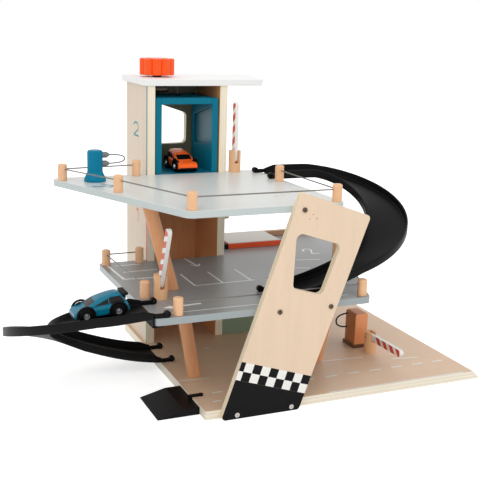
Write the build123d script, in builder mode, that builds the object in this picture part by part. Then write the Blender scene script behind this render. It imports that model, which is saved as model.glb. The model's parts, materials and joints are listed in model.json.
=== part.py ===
from build123d import *
import os
from math import acos, atan2, cos, degrees, hypot, pi, sin

# Toy parking garage with a wound lift. Millimetres. While the pieces are made, X runs
# right from the base board's left edge, Y back from its front edge and Z up from the
# floor. `keep` moves each piece so that the origin is under the middle of the base.
os.makedirs("parts", exist_ok=True)

# ---------------------------------------------------------------- main sizes
BASE_W = 420.0          # base board, left to right
BASE_D = 363.0          # base board, front to back
BASE_T = 12.0           # base plywood
BASE_BEVEL = 11.0       # drive-on bevel along the right edge
PLY = 9.0               # deck and panel plywood
WALL = 12.0             # tower plywood
PITCH = 128.5           # one storey, top face to top face
TOP_STOREY = 127.0      # upper deck to the underside of the roof
CORNER_R = 3.0          # small rounding of board corners
SEAT = 0.05             # gap left between pieces that only rest on each other
BEND_SHARE = 0.45       # a cord's bend radius over the run it turns into

MID_Z = BASE_T + PITCH
TOP_Z = MID_Z + PITCH
ROOF_Z = TOP_Z + TOP_STOREY

# ---------------------------------------------------------------- tower
TOWER_X0 = 4.5
TOWER_W = 123.0
TOWER_Y0 = 259.0
TOWER_X1 = TOWER_X0 + TOWER_W
TOWER_D = BASE_D - TOWER_Y0
SHAFT_X0 = TOWER_X0 + WALL
SHAFT_X1 = TOWER_X1 - WALL
SHAFT_MID = (SHAFT_X0 + SHAFT_X1) / 2
SHAFT_Y1 = BASE_D - WALL
TOWER_H = ROOF_Z - BASE_T
VIEW_WINDOW = [(36.0, 300.5), (96.5, 301.5), (96.5, 348.0), (36.0, 368.0)]
VIEW_WINDOW_R = 7.0

# ---------------------------------------------------------------- roof and winder
ROOF_X0 = 0.5
ROOF_W = 182.5
ROOF_Y0 = 256.0
ROOF_D = 125.0
ROOF_R = 9.0
ROOF_SLOPE = 0.204      # slant of the right edge, across per unit back
WINDER_X = 40.0
WINDER_Y = 325.0
SPINDLE_R = 6.5
RUN_FIT = 0.08          # radial running clearance
KNOB_GAP = 2.8
KNOB_H = 24.0
KNOB_R = 26.5
KNOB_LOBES = 10
KNOB_LOBE_R = 7.5
KNOB_VALLEY = 22.0      # radius at the valleys between the lobes
KNOB_ROUND = 1.0
KNOB_SOCKET = 16.0
DRUM_R = 15.5
DRUM_FLANGE_R = 18.0
DRUM_FLANGE_T = 1.5
DRUM_H = 9.0
DRUM_GAP = 1.0          # under the roof
STRING_R = 0.6
STRING_DROP = 5.0       # string plane below the roof
STRING_BEND = 1.5
LEAD_END = 2.0

# ---------------------------------------------------------------- lift car
LIFT_SIDE_GAP = 1.5
LIFT_SET_IN = 2.0       # behind the tower's front edge
LIFT_BACK_GAP = 2.0     # ahead of the tower's back wall
LIFT_Y0 = TOWER_Y0 + LIFT_SET_IN
LIFT_D = SHAFT_Y1 - LIFT_BACK_GAP - LIFT_Y0
LIFT_H = 118.5
LIFT_STEP = 0.0         # lift floor's top above the upper deck's top
LIFT_X0 = SHAFT_X0 + LIFT_SIDE_GAP
LIFT_X1 = SHAFT_X1 - LIFT_SIDE_GAP
LIFT_Z0 = TOP_Z + LIFT_STEP - PLY
LIFT_Z1 = LIFT_Z0 + LIFT_H
LIFT_EDGE_R = 3.0
LIFT_WINDOW_FRONT = 9.0 # behind the lift's front edge
LIFT_WINDOW_BACK = 8.0  # ahead of its back edge
LIFT_WINDOW_Y0 = LIFT_Y0 + LIFT_WINDOW_FRONT
LIFT_WINDOW_Y1 = LIFT_Y0 + LIFT_D - LIFT_WINDOW_BACK
LIFT_WINDOW = [(LIFT_WINDOW_Y0, 310.0), (LIFT_WINDOW_Y1, 303.5),
               (LIFT_WINDOW_Y1, 347.0), (LIFT_WINDOW_Y0, 365.0)]
LIFT_WINDOW_R = 6.0
PANE_T = 2.0
EYE_R = 2.6             # screw eye, middle of the ring
EYE_WIRE_R = 0.8
EYE_BACK = 3.2          # ring ahead of the string's bend
HITCH_R = 2.2
HITCH_H = 1.8
HITCH_ROUND = 0.6

# ---------------------------------------------------------------- decks
DECK_BACK = 268.0
TOP_DECK = [(-26.0, 0.0), (187.0, 0.0), (178.0, DECK_BACK), (-137.0, DECK_BACK)]
TOP_DECK_R = 12.0
MID_LEFT = -66.0
MID_FRONT_RIGHT = 229.5
MID_SLOPE = 0.357       # slant of the right edge, across per unit back
MID_DECK_R = 6.0
MID_BACK_R = 12.0
MID_RIGHT = MID_FRONT_RIGHT + MID_SLOPE * BASE_D

# ---------------------------------------------------------------- back of the mid deck
PLAT_X0 = 148.0
PLAT_X1 = 240.0
PLAT_Y0 = 291.0
PLAT_T = 8.0
PLAT_MAT_T = 1.0
PLAT_MAT_IN = 1.2
BUFFER_W = 6.0
CURB_D = 9.0
CURB_H = 8.5
CURB_END = 12.0

# ---------------------------------------------------------------- supports
SUPPORT_L = 104.0
BRACKET_W = 7.0
BRACKET_D = 12.0
BRACKET_H = 63.0
PILLAR_R = 9.0
PILLAR_LEAN = 0.28      # across per unit up, upper pillar
LOWER_LEAN = 0.18
RIGHT_LEAN = 0.22
PILLAR_BLANK = 1.5      # dowel length before it is cut level
PILLAR_UP = (-6.3, 114.0)
PILLAR_LEFT = (28.0, 117.0)
PILLAR_RIGHT = (216.0, 115.0)

# ---------------------------------------------------------------- front panel
PANEL = [(17.0, 0.3), (126.0, 0.3), (217.5, 251.0), (117.5, 287.0)]
PANEL_R = 5.0
PANEL_WINDOW = [(110.4, 164.5), (152.5, 152.0), (176.5, 216.5), (112.7, 237.0)]
PANEL_WINDOW_R = 8.0
SCREW_R = 1.5
SCREW_HEAD_R = 3.2
SCREW_HEAD_T = 1.3
SCREW_L = 22.0
SCREW_SLOT = 0.9
SCREW_CROSS = 4.2       # across the arms of the cross slot
SCREWS = [(122.3, TOP_Z - PLY / 2), (93.6, MID_Z - PLY / 2), (166.0, MID_Z - PLY / 2),
          (39.0, BASE_T / 2), (114.9, BASE_T / 2)]
DOTS = [(129.9, 252.7), (134.5, 258.1), (139.6, 252.8)]
DOT_R = 0.9
DOT_DEPTH = 1.5

# ---------------------------------------------------------------- rails
PEG_R = 6.25
PEG_H = 22.5
PEG_ROUND = 1.2
PEG_HOLE_Z = 15.5
WIRE_R = 0.9
WIRE_FIT = 0.1
WIRE_BEND = 4.0
TOP_PEGS = [(-12.0, 259.0), (-120.5, 247.0), (-71.0, 142.0), (-18.5, 9.0),
            (177.0, 9.5), (171.0, 166.0)]
MID_PEGS_L = [(-7.5, 258.0), (-57.5, 257.0), (-52.0, 88.0)]
MID_PEGS_R = [(-35.0, 8.0), (222.0, 9.0), (289.5, 200.0)]

# ---------------------------------------------------------------- barriers
POST_R = 9.0
POST_H = 32.0
POST_PIVOT = 19.5       # pin height above the floor it stands on
POST_SLOT = 6.4
SLOT_UNDER = 1.0        # slot floor below the arm's rounded tail
SLOT_GAP = 0.4          # behind the arm's rounded tail
ARM_T = 5.8
ARM_W = 10.0
ARM_L = 84.0            # pin to tip
ARM_TAIL = 5.0
PIN_R = 1.25
PIN_L = 17.0
POST_TOP = (140.5, 258.0)
POST_MID = (-34.0, 78.0)
POST_GROUND = (309.0, 118.0)
ARM_MID_TILT = 22.0     # degrees forward of upright
GROUND_PIVOT = 24.3     # the ground barrier's pin stands higher
ARM_GROUND_TILT = 89.0

# ---------------------------------------------------------------- curved ramps
RAMP_HALF = 29.0        # half the channel's outside width
RAMP_T = 2.0
RAMP_WALL_T = 2.6
RAMP_WALL_H = 10.0
RAMP_END_H = 5.5
RAMP_TURN_R = 87.5
RAMP_Y_UP = 214.0
RAMP_TURN_X = 225.5
RAMP_X_UP = 182.8       # where the channel starts, beside the upper deck
RAMP_X_LOW = 116.0
RAMP_FLAT = 62.0
RAMP_FLAT_LOW = 3.0
RAMP_EASE = 0.67
RAMP_LIFT = 1.0         # channel floor above the upper deck
RAMP_STEPS = 26
END_RUN = 14.0          # the walls drop over this run at each end
LEFT_SHIFT = 8.0        # the left ramp's start, ahead of the right ramp's end
LEFT_SAG = 7.0          # largest droop of the left ramp
SAG_RUN = 320.0         # run that the droop is spread over
ARM_REACH = 18.0
ARM_LAP = 2.0           # the arms run into the channel's walls
CLIP_T = 3.2
CLIP_LIP = 12.0
CLIP_LIP_T = 2.4
CLIP_GAP = 0.3
RAMP_KNOB_R = 4.2
RAMP_KNOB_W = 6.0
RAMP_KNOB_HOLE = 1.4

# ---------------------------------------------------------------- drive-on wedge
WEDGE_L = 56.0
WEDGE_FLAT = 21.0
WEDGE_H = 9.5
WEDGE_Y0 = 20.5
WEDGE_W = 75.0
WEDGE_TIP = 0.8
TAB_W = 5.0
TAB_L = 15.0
TAB_Y = 50.0
TAB_T = 2.6
TAB_HEAD_R = 3.1

# ---------------------------------------------------------------- charging point
CHARGE = (-79.5, 229.0)
CHARGE_R = 10.5
CHARGE_FOOT_R = 15.0
CHARGE_FOOT_H = 6.5
CHARGE_NECK_H = 13.5
CHARGE_H = 43.0
PLUG_R = 4.2
PLUG_TIP_R = 1.6
PLUG_L = 6.5            # straight part
PLUG_TAPER = 4.0
PLUG_IN = 1.0
PLUG_UP = 36.0
PLUG_LOW = 24.0
CABLE_R = 0.9
CABLE_OUT = 22.0

# ---------------------------------------------------------------- fuel pump
PUMP = (294.5, 139.5)
PUMP_W = 22.0
PUMP_D = 30.0
PUMP_H = 48.0
PUMP_R = 4.0
PUMP_FOOT_OVER = 2.5
PUMP_FOOT_T = 5.0
HOSE_R = 1.2
HOSE_OUT = 19.0
HOSE_BACK = 5.0         # hose ahead of the pump's rear face
HOSE_TOP = 8.5
HOSE_SPAN = 21.5
HOSE_IN = 3.0

# ---------------------------------------------------------------- toy cars
CAR_L = 68.0
CAR_W = 34.0
CAR_PROFILE = [(1.5, 4.5), (0.0, 8.0), (0.5, 12.5), (4.0, 15.0), (14.0, 17.5), (26.0, 22.5),
               (41.0, 29.2), (48.0, 29.8), (59.0, 28.6), (65.0, 22.0), (67.5, 15.0),
               (68.0, 8.0), (66.5, 4.5)]
CAR_EDGE = 2.2
WHEEL_R = 8.8
WHEEL_W = 7.0
WHEEL_GAP = 0.6
WHEEL_FRONT = 14.5
WHEEL_REAR = 53.5
ARCH_GAP = 1.6
AXLE_R = 1.5
HUB_R = 4.4
HUB_RISE = 0.8
LIFT_CAR_FRONT_Y = 260.0
LIFT_CAR_SHIFT = 2.0    # to the right of the shaft's middle
RAMP_CAR_FRONT = (-157.0, 39.5)
RAMP_CAR_DROP = 5.35    # wheels' underside below the middle deck, at the nose
RAMP_CAR_TILT = 4.3

PART_FRAME = Location((-BASE_W / 2, -BASE_D / 2, 0))


def keep(piece, name):
    """Names a finished piece, moves it to the part's frame and writes its file."""
    placed = piece.moved(PART_FRAME)
    placed.label = name
    export_step(placed, f"parts/{name}.step")


def rounded(points, radius):
    """A closed outline with rounded corners, for the sketch being drawn."""
    with BuildLine() as outline:
        FilletPolyline(*points, radius=radius, close=True)
    make_face(outline.edges())


# ================================================================ base board
with BuildPart() as base_board:
    with BuildSketch():
        Rectangle(BASE_W, BASE_D, align=(Align.MIN, Align.MIN))
    extrude(amount=BASE_T)
    right_top = base_board.edges().filter_by(Axis.Y).sort_by(Axis.X)[-2:].sort_by(Axis.Z)[-1]
    chamfer(right_top, length=BASE_BEVEL)
    fillet(base_board.edges().filter_by(Axis.Z).sort_by(Axis.X)[:2], radius=CORNER_R)
    for x, z in SCREWS[3:]:
        with Locations(Location((x, 0, z), (90, 0, 0))):
            Cylinder(SCREW_R, 2 * SCREW_L, mode=Mode.SUBTRACT)
keep(base_board.part, "base_board")

# ================================================================ tower
with BuildPart() as tower_left_wall:
    with Locations((TOWER_X0, TOWER_Y0, BASE_T)):
        Box(WALL, TOWER_D, TOWER_H, align=(Align.MIN, Align.MIN, Align.MIN))
keep(tower_left_wall.part, "tower_left_wall")

with BuildPart() as tower_right_wall:
    with Locations((SHAFT_X1, TOWER_Y0, BASE_T)):
        Box(WALL, TOWER_D, TOWER_H, align=(Align.MIN, Align.MIN, Align.MIN))
keep(tower_right_wall.part, "tower_right_wall")

with BuildPart() as tower_back_wall:
    with Locations((SHAFT_X0, SHAFT_Y1, BASE_T)):
        Box(SHAFT_X1 - SHAFT_X0, WALL, TOWER_H, align=(Align.MIN, Align.MIN, Align.MIN))
    with BuildSketch(Plane.XZ.offset(-BASE_D)):
        rounded(VIEW_WINDOW, VIEW_WINDOW_R)
    extrude(amount=WALL, mode=Mode.SUBTRACT)
keep(tower_back_wall.part, "tower_back_wall")

with BuildPart() as roof_board:
    with BuildSketch(Plane.XY.offset(ROOF_Z)):
        rounded([(ROOF_X0, ROOF_Y0), (ROOF_X0 + ROOF_W, ROOF_Y0),
                 (ROOF_X0 + ROOF_W + ROOF_SLOPE * ROOF_D, ROOF_Y0 + ROOF_D),
                 (ROOF_X0, ROOF_Y0 + ROOF_D)], ROOF_R)
    extrude(amount=PLY)
    with Locations((WINDER_X, WINDER_Y, ROOF_Z + PLY)):
        Hole(SPINDLE_R + RUN_FIT, depth=PLY)
keep(roof_board.part, "roof_board")

# ================================================================ winder and string
KNOB_Z0 = ROOF_Z + PLY + KNOB_GAP
STRING_Z = ROOF_Z - STRING_DROP
DRUM_TOP = ROOF_Z - DRUM_GAP
STRING_WRAP = DRUM_R + STRING_R

with BuildPart() as winding_knob:
    with BuildSketch(Plane.XY.offset(KNOB_Z0)):
        with Locations((WINDER_X, WINDER_Y)):
            Circle(KNOB_VALLEY)
            with PolarLocations(KNOB_R - KNOB_LOBE_R, KNOB_LOBES):
                Circle(KNOB_LOBE_R)
    extrude(amount=KNOB_H)
    chamfer(winding_knob.faces().sort_by(Axis.Z)[-1].edges(), length=KNOB_ROUND)
    with Locations((WINDER_X, WINDER_Y, KNOB_Z0)):
        Cylinder(SPINDLE_R, 2 * KNOB_SOCKET, mode=Mode.SUBTRACT)
keep(winding_knob.part, "winding_knob")

DRUM_FOOT = DRUM_TOP - DRUM_H - 2 * DRUM_FLANGE_T
with BuildPart() as winding_spindle:
    with BuildSketch(Plane.XY.offset(DRUM_FOOT)):
        with Locations((WINDER_X, WINDER_Y)):
            Circle(SPINDLE_R)
    extrude(amount=KNOB_Z0 + KNOB_SOCKET - DRUM_FOOT)
    with Locations((WINDER_X, WINDER_Y, DRUM_TOP)):
        Cylinder(DRUM_FLANGE_R, DRUM_FLANGE_T, align=(Align.CENTER, Align.CENTER, Align.MAX))
    with Locations((WINDER_X, WINDER_Y, DRUM_TOP - DRUM_FLANGE_T)):
        Cylinder(DRUM_R, DRUM_H, align=(Align.CENTER, Align.CENTER, Align.MAX))
    with Locations((WINDER_X, WINDER_Y, DRUM_TOP - DRUM_FLANGE_T - DRUM_H)):
        Cylinder(DRUM_FLANGE_R, DRUM_FLANGE_T, align=(Align.CENTER, Align.CENTER, Align.MAX))
keep(winding_spindle.part, "winding_spindle")

# The string leaves the drum along a tangent and turns down at the screw eye.
HANG_X = SHAFT_MID
HANG_Y = LIFT_Y0 + LIFT_D / 2
HANG_DIST = hypot(HANG_X - WINDER_X, HANG_Y - WINDER_Y)
LEAVE = atan2(HANG_Y - WINDER_Y, HANG_X - WINDER_X) + acos((STRING_WRAP + SEAT) / HANG_DIST)
LEAVE_X = WINDER_X + (STRING_WRAP + SEAT) * cos(LEAVE)
LEAVE_Y = WINDER_Y + (STRING_WRAP + SEAT) * sin(LEAVE)
LEAD_TURN = atan2(HANG_Y - LEAVE_Y, HANG_X - LEAVE_X)
EYE_X = HANG_X - EYE_BACK * cos(LEAD_TURN)
EYE_Y = HANG_Y - EYE_BACK * sin(LEAD_TURN)

with BuildPart() as string_eyelet:
    with Locations(Plane((EYE_X, EYE_Y, STRING_Z), z_dir=(cos(LEAD_TURN), sin(LEAD_TURN), 0))):
        Cylinder(EYE_R + EYE_WIRE_R, 2 * EYE_WIRE_R)
        Cylinder(EYE_R - EYE_WIRE_R, 2 * EYE_WIRE_R, mode=Mode.SUBTRACT)
    with Locations((EYE_X, EYE_Y, STRING_Z + EYE_R)):
        Cylinder(EYE_WIRE_R, ROOF_Z - STRING_Z - EYE_R, align=(Align.CENTER, Align.CENTER, Align.MIN))
keep(string_eyelet.part, "string_eyelet")

with BuildPart() as string_lead:
    with BuildLine() as lead_path:
        FilletPolyline((LEAVE_X, LEAVE_Y, STRING_Z), (HANG_X, HANG_Y, STRING_Z),
                       (HANG_X, HANG_Y, STRING_Z - LEAD_END), radius=STRING_BEND)
    with BuildSketch(Plane(lead_path.line @ 0, z_dir=lead_path.line % 0)):
        Circle(STRING_R)
    sweep()
keep(string_lead.part, "string_lead")

with BuildPart() as lift_string:
    with Locations((HANG_X, HANG_Y, LIFT_Z1 + HITCH_H)):
        Cylinder(STRING_R, STRING_Z - LEAD_END - LIFT_Z1 - HITCH_H,
                 align=(Align.CENTER, Align.CENTER, Align.MIN))
keep(lift_string.part, "lift_string")

# ================================================================ lift car
with BuildPart() as lift_left_wall:
    with Locations((LIFT_X0, LIFT_Y0, LIFT_Z0)):
        Box(PLY, LIFT_D, LIFT_H, align=(Align.MIN, Align.MIN, Align.MIN))
    outer = lift_left_wall.edges().filter_by(Axis.Y).group_by(Axis.Z)[-1].sort_by(Axis.X)[0]
    fillet(outer, radius=LIFT_EDGE_R)
    with BuildSketch(Plane.YZ.offset(LIFT_X0)):
        rounded(LIFT_WINDOW, LIFT_WINDOW_R)
    extrude(amount=PLY, mode=Mode.SUBTRACT)
keep(lift_left_wall.part, "lift_left_wall")

with BuildPart() as lift_right_wall:
    with Locations((LIFT_X1 - PLY, LIFT_Y0, LIFT_Z0)):
        Box(PLY, LIFT_D, LIFT_H, align=(Align.MIN, Align.MIN, Align.MIN))
    outer = lift_right_wall.edges().filter_by(Axis.Y).group_by(Axis.Z)[-1].sort_by(Axis.X)[-1]
    fillet(outer, radius=LIFT_EDGE_R)
    with BuildSketch(Plane.YZ.offset(LIFT_X1 - PLY)):
        rounded(LIFT_WINDOW, LIFT_WINDOW_R)
    extrude(amount=PLY, mode=Mode.SUBTRACT)
keep(lift_right_wall.part, "lift_right_wall")

LIFT_IN = LIFT_X1 - LIFT_X0 - 2 * PLY
with BuildPart() as lift_floor:
    with Locations((LIFT_X0 + PLY, LIFT_Y0, LIFT_Z0)):
        Box(LIFT_IN, LIFT_D, PLY, align=(Align.MIN, Align.MIN, Align.MIN))
keep(lift_floor.part, "lift_floor")

with BuildPart() as lift_roof:
    with Locations((LIFT_X0 + PLY, LIFT_Y0, LIFT_Z1 - PLY)):
        Box(LIFT_IN, LIFT_D, PLY, align=(Align.MIN, Align.MIN, Align.MIN))
keep(lift_roof.part, "lift_roof")

with BuildPart() as lift_panes:
    for x in (LIFT_X0 + (PLY - PANE_T) / 2, LIFT_X1 - (PLY + PANE_T) / 2):
        with BuildSketch(Plane.YZ.offset(x)):
            rounded(LIFT_WINDOW, LIFT_WINDOW_R)
        extrude(amount=PANE_T)
keep(lift_panes.part, "lift_panes")

with BuildPart() as lift_hitch:
    with Locations((HANG_X, HANG_Y, LIFT_Z1)):
        Cylinder(HITCH_R, HITCH_H, align=(Align.CENTER, Align.CENTER, Align.MIN))
    chamfer(lift_hitch.edges().group_by(Axis.Z)[-1], length=HITCH_ROUND)
keep(lift_hitch.part, "lift_hitch")

# ================================================================ decks
with BuildPart() as deck_top:
    with BuildSketch(Plane.XY.offset(TOP_Z - PLY)):
        rounded(TOP_DECK, TOP_DECK_R)
        with Locations((TOWER_X0, TOWER_Y0)):
            Rectangle(TOWER_W, TOWER_D, align=(Align.MIN, Align.MIN), mode=Mode.SUBTRACT)
    extrude(amount=PLY)
    with Locations(Location((SCREWS[0][0], 0, SCREWS[0][1]), (90, 0, 0))):
        Cylinder(SCREW_R, 2 * SCREW_L, mode=Mode.SUBTRACT)
keep(deck_top.part, "deck_top")

with BuildPart() as deck_mid:
    with BuildSketch(Plane.XY.offset(MID_Z - PLY)):
        Polygon((MID_LEFT, 0), (MID_FRONT_RIGHT, 0), (MID_RIGHT, BASE_D), (TOWER_X1, BASE_D),
                (TOWER_X1, DECK_BACK), (MID_LEFT, DECK_BACK), align=None)
        with Locations((TOWER_X0, TOWER_Y0)):
            Rectangle(TOWER_W, TOWER_D, align=(Align.MIN, Align.MIN), mode=Mode.SUBTRACT)
    extrude(amount=PLY)
    upright = deck_mid.edges().filter_by(Axis.Z)
    fillet(upright.sort_by(Axis.X)[:2], radius=MID_DECK_R)
    fillet(deck_mid.edges().filter_by(Axis.Z).sort_by(Axis.X)[-1], radius=MID_BACK_R)
    fillet(deck_mid.edges().filter_by(Axis.Z).filter_by_position(Axis.Y, -1, 1).sort_by(Axis.X)[-1],
           radius=MID_DECK_R)
    for x, z in SCREWS[1:3]:
        with Locations(Location((x, 0, z), (90, 0, 0))):
            Cylinder(SCREW_R, 2 * SCREW_L, mode=Mode.SUBTRACT)
keep(deck_mid.part, "deck_mid")

# ================================================================ back of the mid deck
with BuildPart() as platform_board:
    with Locations((PLAT_X0, PLAT_Y0, MID_Z)):
        Box(PLAT_X1 - PLAT_X0, BASE_D - PLAT_Y0, PLAT_T, align=(Align.MIN, Align.MIN, Align.MIN))
    fillet(platform_board.edges().filter_by(Axis.Z), radius=CORNER_R / 2)
keep(platform_board.part, "platform_board")

with BuildPart() as platform_mat:
    with Locations((PLAT_X0 + PLAT_MAT_IN, PLAT_Y0 + PLAT_MAT_IN, MID_Z + PLAT_T)):
        Box(PLAT_X1 - PLAT_X0 - 2 * PLAT_MAT_IN, BASE_D - PLAT_Y0 - 2 * PLAT_MAT_IN, PLAT_MAT_T,
            align=(Align.MIN, Align.MIN, Align.MIN))
keep(platform_mat.part, "platform_mat")

with BuildPart() as platform_buffer:
    with Locations((PLAT_X0 - BUFFER_W, PLAT_Y0, MID_Z)):
        Box(BUFFER_W, BASE_D - PLAT_Y0, PLAT_T, align=(Align.MIN, Align.MIN, Align.MIN))
keep(platform_buffer.part, "platform_buffer")

with BuildPart() as rear_curb:
    with Locations((PLAT_X1, BASE_D - CURB_D, MID_Z)):
        Box(MID_RIGHT - MID_BACK_R - CURB_END - PLAT_X1, CURB_D, CURB_H,
            align=(Align.MIN, Align.MIN, Align.MIN))
keep(rear_curb.part, "rear_curb")

# ================================================================ supports
with BuildPart() as support_panel:
    with Locations((TOWER_X1, TOWER_Y0, BASE_T)):
        Box(SUPPORT_L, PLY, MID_Z - PLY - BASE_T, align=(Align.MIN, Align.MIN, Align.MIN))
keep(support_panel.part, "support_panel")

with BuildPart() as deck_bracket:
    with Locations((TOWER_X1, TOWER_Y0, TOP_Z - PLY)):
        Box(BRACKET_W, BRACKET_D, BRACKET_H, align=(Align.MIN, Align.MIN, Align.MAX))
    fillet(deck_bracket.edges().filter_by(Axis.Y).group_by(Axis.Z)[0].sort_by(Axis.X)[-1],
           radius=CORNER_R)
keep(deck_bracket.part, "deck_bracket")


def lean_pillar(foot, z0, z1, lean):
    """A dowel that leans sideways, cut level at both ends, in the part being made."""
    angle = degrees(atan2(lean, 1.0))
    height = z1 - z0
    with Locations(Location((foot[0] + lean * height / 2, foot[1], (z0 + z1) / 2), (0, angle, 0))):
        Cylinder(PILLAR_R, PILLAR_BLANK * height)
    split(bisect_by=Plane.XY.offset(z0), keep=Keep.TOP)
    split(bisect_by=Plane.XY.offset(z1), keep=Keep.BOTTOM)


with BuildPart() as pillar_upper_left:
    lean_pillar(PILLAR_UP, MID_Z, TOP_Z - PLY, -PILLAR_LEAN)
keep(pillar_upper_left.part, "pillar_upper_left")

with BuildPart() as pillar_lower_left:
    lean_pillar(PILLAR_LEFT, BASE_T, MID_Z - PLY, -LOWER_LEAN)
keep(pillar_lower_left.part, "pillar_lower_left")

with BuildPart() as pillar_lower_right:
    lean_pillar(PILLAR_RIGHT, BASE_T, MID_Z - PLY, RIGHT_LEAN)
keep(pillar_lower_right.part, "pillar_lower_right")

# ================================================================ front panel
with BuildPart() as front_panel:
    with BuildSketch(Plane.XZ):
        rounded(PANEL, PANEL_R)
    extrude(amount=PLY)
    with BuildSketch(Plane.XZ):
        rounded(PANEL_WINDOW, PANEL_WINDOW_R)
    extrude(amount=PLY, mode=Mode.SUBTRACT)
    for x, z in SCREWS:
        with Locations(Location((x, -PLY / 2, z), (90, 0, 0))):
            Cylinder(SCREW_R, PLY, mode=Mode.SUBTRACT)
    for x, z in DOTS:
        with Locations(Location((x, -PLY, z), (90, 0, 0))):
            Cylinder(DOT_R, 2 * DOT_DEPTH, mode=Mode.SUBTRACT)
keep(front_panel.part, "front_panel")

with BuildPart() as front_screws:
    for x, z in SCREWS:
        with Locations(Location((x, -PLY, z), (90, 0, 0))):
            Cylinder(SCREW_HEAD_R, SCREW_HEAD_T, align=(Align.CENTER, Align.CENTER, Align.MIN))
        with Locations(Location((x, -PLY - SCREW_HEAD_T, z), (90, 0, 0))):
            Box(SCREW_SLOT, SCREW_CROSS, SCREW_HEAD_T, mode=Mode.SUBTRACT)
            Box(SCREW_CROSS, SCREW_SLOT, SCREW_HEAD_T, mode=Mode.SUBTRACT)
        with Locations(Location((x, -PLY, z), (90, 0, 0))):
            Cylinder(SCREW_R, SCREW_L, align=(Align.CENTER, Align.CENTER, Align.MAX))
keep(front_screws.part, "front_screws")


# ================================================================ rails
def wire_path(pegs, deck_z):
    """Points of a rail wire that runs through the pegs, level, in their order."""
    return [(x, y, deck_z + PEG_HOLE_Z) for x, y in pegs]


def wire_solid(pegs, deck_z, radius, mode=Mode.ADD):
    """Sweeps a rail wire, or the bore for one, through a row of pegs."""
    with BuildLine() as path:
        FilletPolyline(*wire_path(pegs, deck_z), radius=WIRE_BEND)
    with BuildSketch(Plane(path.line @ 0, z_dir=path.line % 0)) as bore:
        Circle(radius)
    sweep(bore.sketch, path=path.line, mode=mode)


def peg_solids(pegs, deck_z):
    """Stands a turned peg on the deck at each place."""
    with BuildSketch(Plane.XY.offset(deck_z)) as feet:
        with Locations(*pegs):
            Circle(PEG_R)
    extrude(feet.sketch, amount=PEG_H)


with BuildPart() as rail_posts_top:
    peg_solids(TOP_PEGS, TOP_Z)
    chamfer(rail_posts_top.edges().group_by(Axis.Z)[-1], length=PEG_ROUND)
    wire_solid(TOP_PEGS, TOP_Z, WIRE_R + WIRE_FIT, Mode.SUBTRACT)
keep(rail_posts_top.part, "rail_posts_top")

with BuildPart() as rail_wire_top:
    wire_solid(TOP_PEGS, TOP_Z, WIRE_R)
keep(rail_wire_top.part, "rail_wire_top")

with BuildPart() as rail_posts_mid:
    peg_solids(MID_PEGS_L + MID_PEGS_R, MID_Z)
    chamfer(rail_posts_mid.edges().group_by(Axis.Z)[-1], length=PEG_ROUND)
    wire_solid(MID_PEGS_L, MID_Z, WIRE_R + WIRE_FIT, Mode.SUBTRACT)
    wire_solid(MID_PEGS_R, MID_Z, WIRE_R + WIRE_FIT, Mode.SUBTRACT)
keep(rail_posts_mid.part, "rail_posts_mid")

with BuildPart() as rail_wire_mid_left:
    wire_solid(MID_PEGS_L, MID_Z, WIRE_R)
keep(rail_wire_mid_left.part, "rail_wire_mid_left")

with BuildPart() as rail_wire_mid_right:
    wire_solid(MID_PEGS_R, MID_Z, WIRE_R)
keep(rail_wire_mid_right.part, "rail_wire_mid_right")


# ================================================================ barriers
def barrier_post(place, floor_z, pivot=POST_PIVOT):
    """A turned post with a slot for the arm and a cross hole for its pin."""
    with Locations((place[0], place[1], floor_z)):
        Cylinder(POST_R, POST_H, align=(Align.CENTER, Align.CENTER, Align.MIN))
    with Locations((place[0], place[1] + ARM_TAIL + SLOT_GAP, floor_z + pivot - ARM_TAIL - SLOT_UNDER)):
        Box(POST_SLOT, 2 * POST_R, POST_H, align=(Align.CENTER, Align.MAX, Align.MIN),
            mode=Mode.SUBTRACT)
    with Locations(Location((place[0], place[1], floor_z + pivot), (0, 90, 0))):
        Cylinder(PIN_R, 2 * POST_R, mode=Mode.SUBTRACT)


def barrier_arm(place, floor_z, tilt, pivot=POST_PIVOT):
    """A flat arm on its pin, tilted forward of upright by so many degrees."""
    turn = tilt * pi / 180
    with BuildSketch(Plane(origin=(place[0] - ARM_T / 2, place[1], floor_z + pivot),
                           x_dir=(0, cos(turn), sin(turn)), z_dir=(1, 0, 0))) as side:
        with Locations((0, (ARM_L - ARM_TAIL) / 2)):
            SlotOverall(ARM_L + ARM_TAIL, ARM_W, rotation=90)
        Circle(PIN_R + RUN_FIT, mode=Mode.SUBTRACT)
    extrude(side.sketch, amount=ARM_T)


def barrier_pin(place, floor_z, pivot=POST_PIVOT):
    """The steel pin across the post."""
    with Locations(Location((place[0], place[1], floor_z + pivot), (0, 90, 0))):
        Cylinder(PIN_R, PIN_L)


with BuildPart() as barrier_top_post:
    barrier_post(POST_TOP, TOP_Z)
keep(barrier_top_post.part, "barrier_top_post")
with BuildPart() as barrier_top_arm:
    barrier_arm(POST_TOP, TOP_Z, 0)
keep(barrier_top_arm.part, "barrier_top_arm")
with BuildPart() as barrier_top_pin:
    barrier_pin(POST_TOP, TOP_Z)
keep(barrier_top_pin.part, "barrier_top_pin")

with BuildPart() as barrier_mid_post:
    barrier_post(POST_MID, MID_Z)
keep(barrier_mid_post.part, "barrier_mid_post")
with BuildPart() as barrier_mid_arm:
    barrier_arm(POST_MID, MID_Z, ARM_MID_TILT)
keep(barrier_mid_arm.part, "barrier_mid_arm")
with BuildPart() as barrier_mid_pin:
    barrier_pin(POST_MID, MID_Z)
keep(barrier_mid_pin.part, "barrier_mid_pin")

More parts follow.
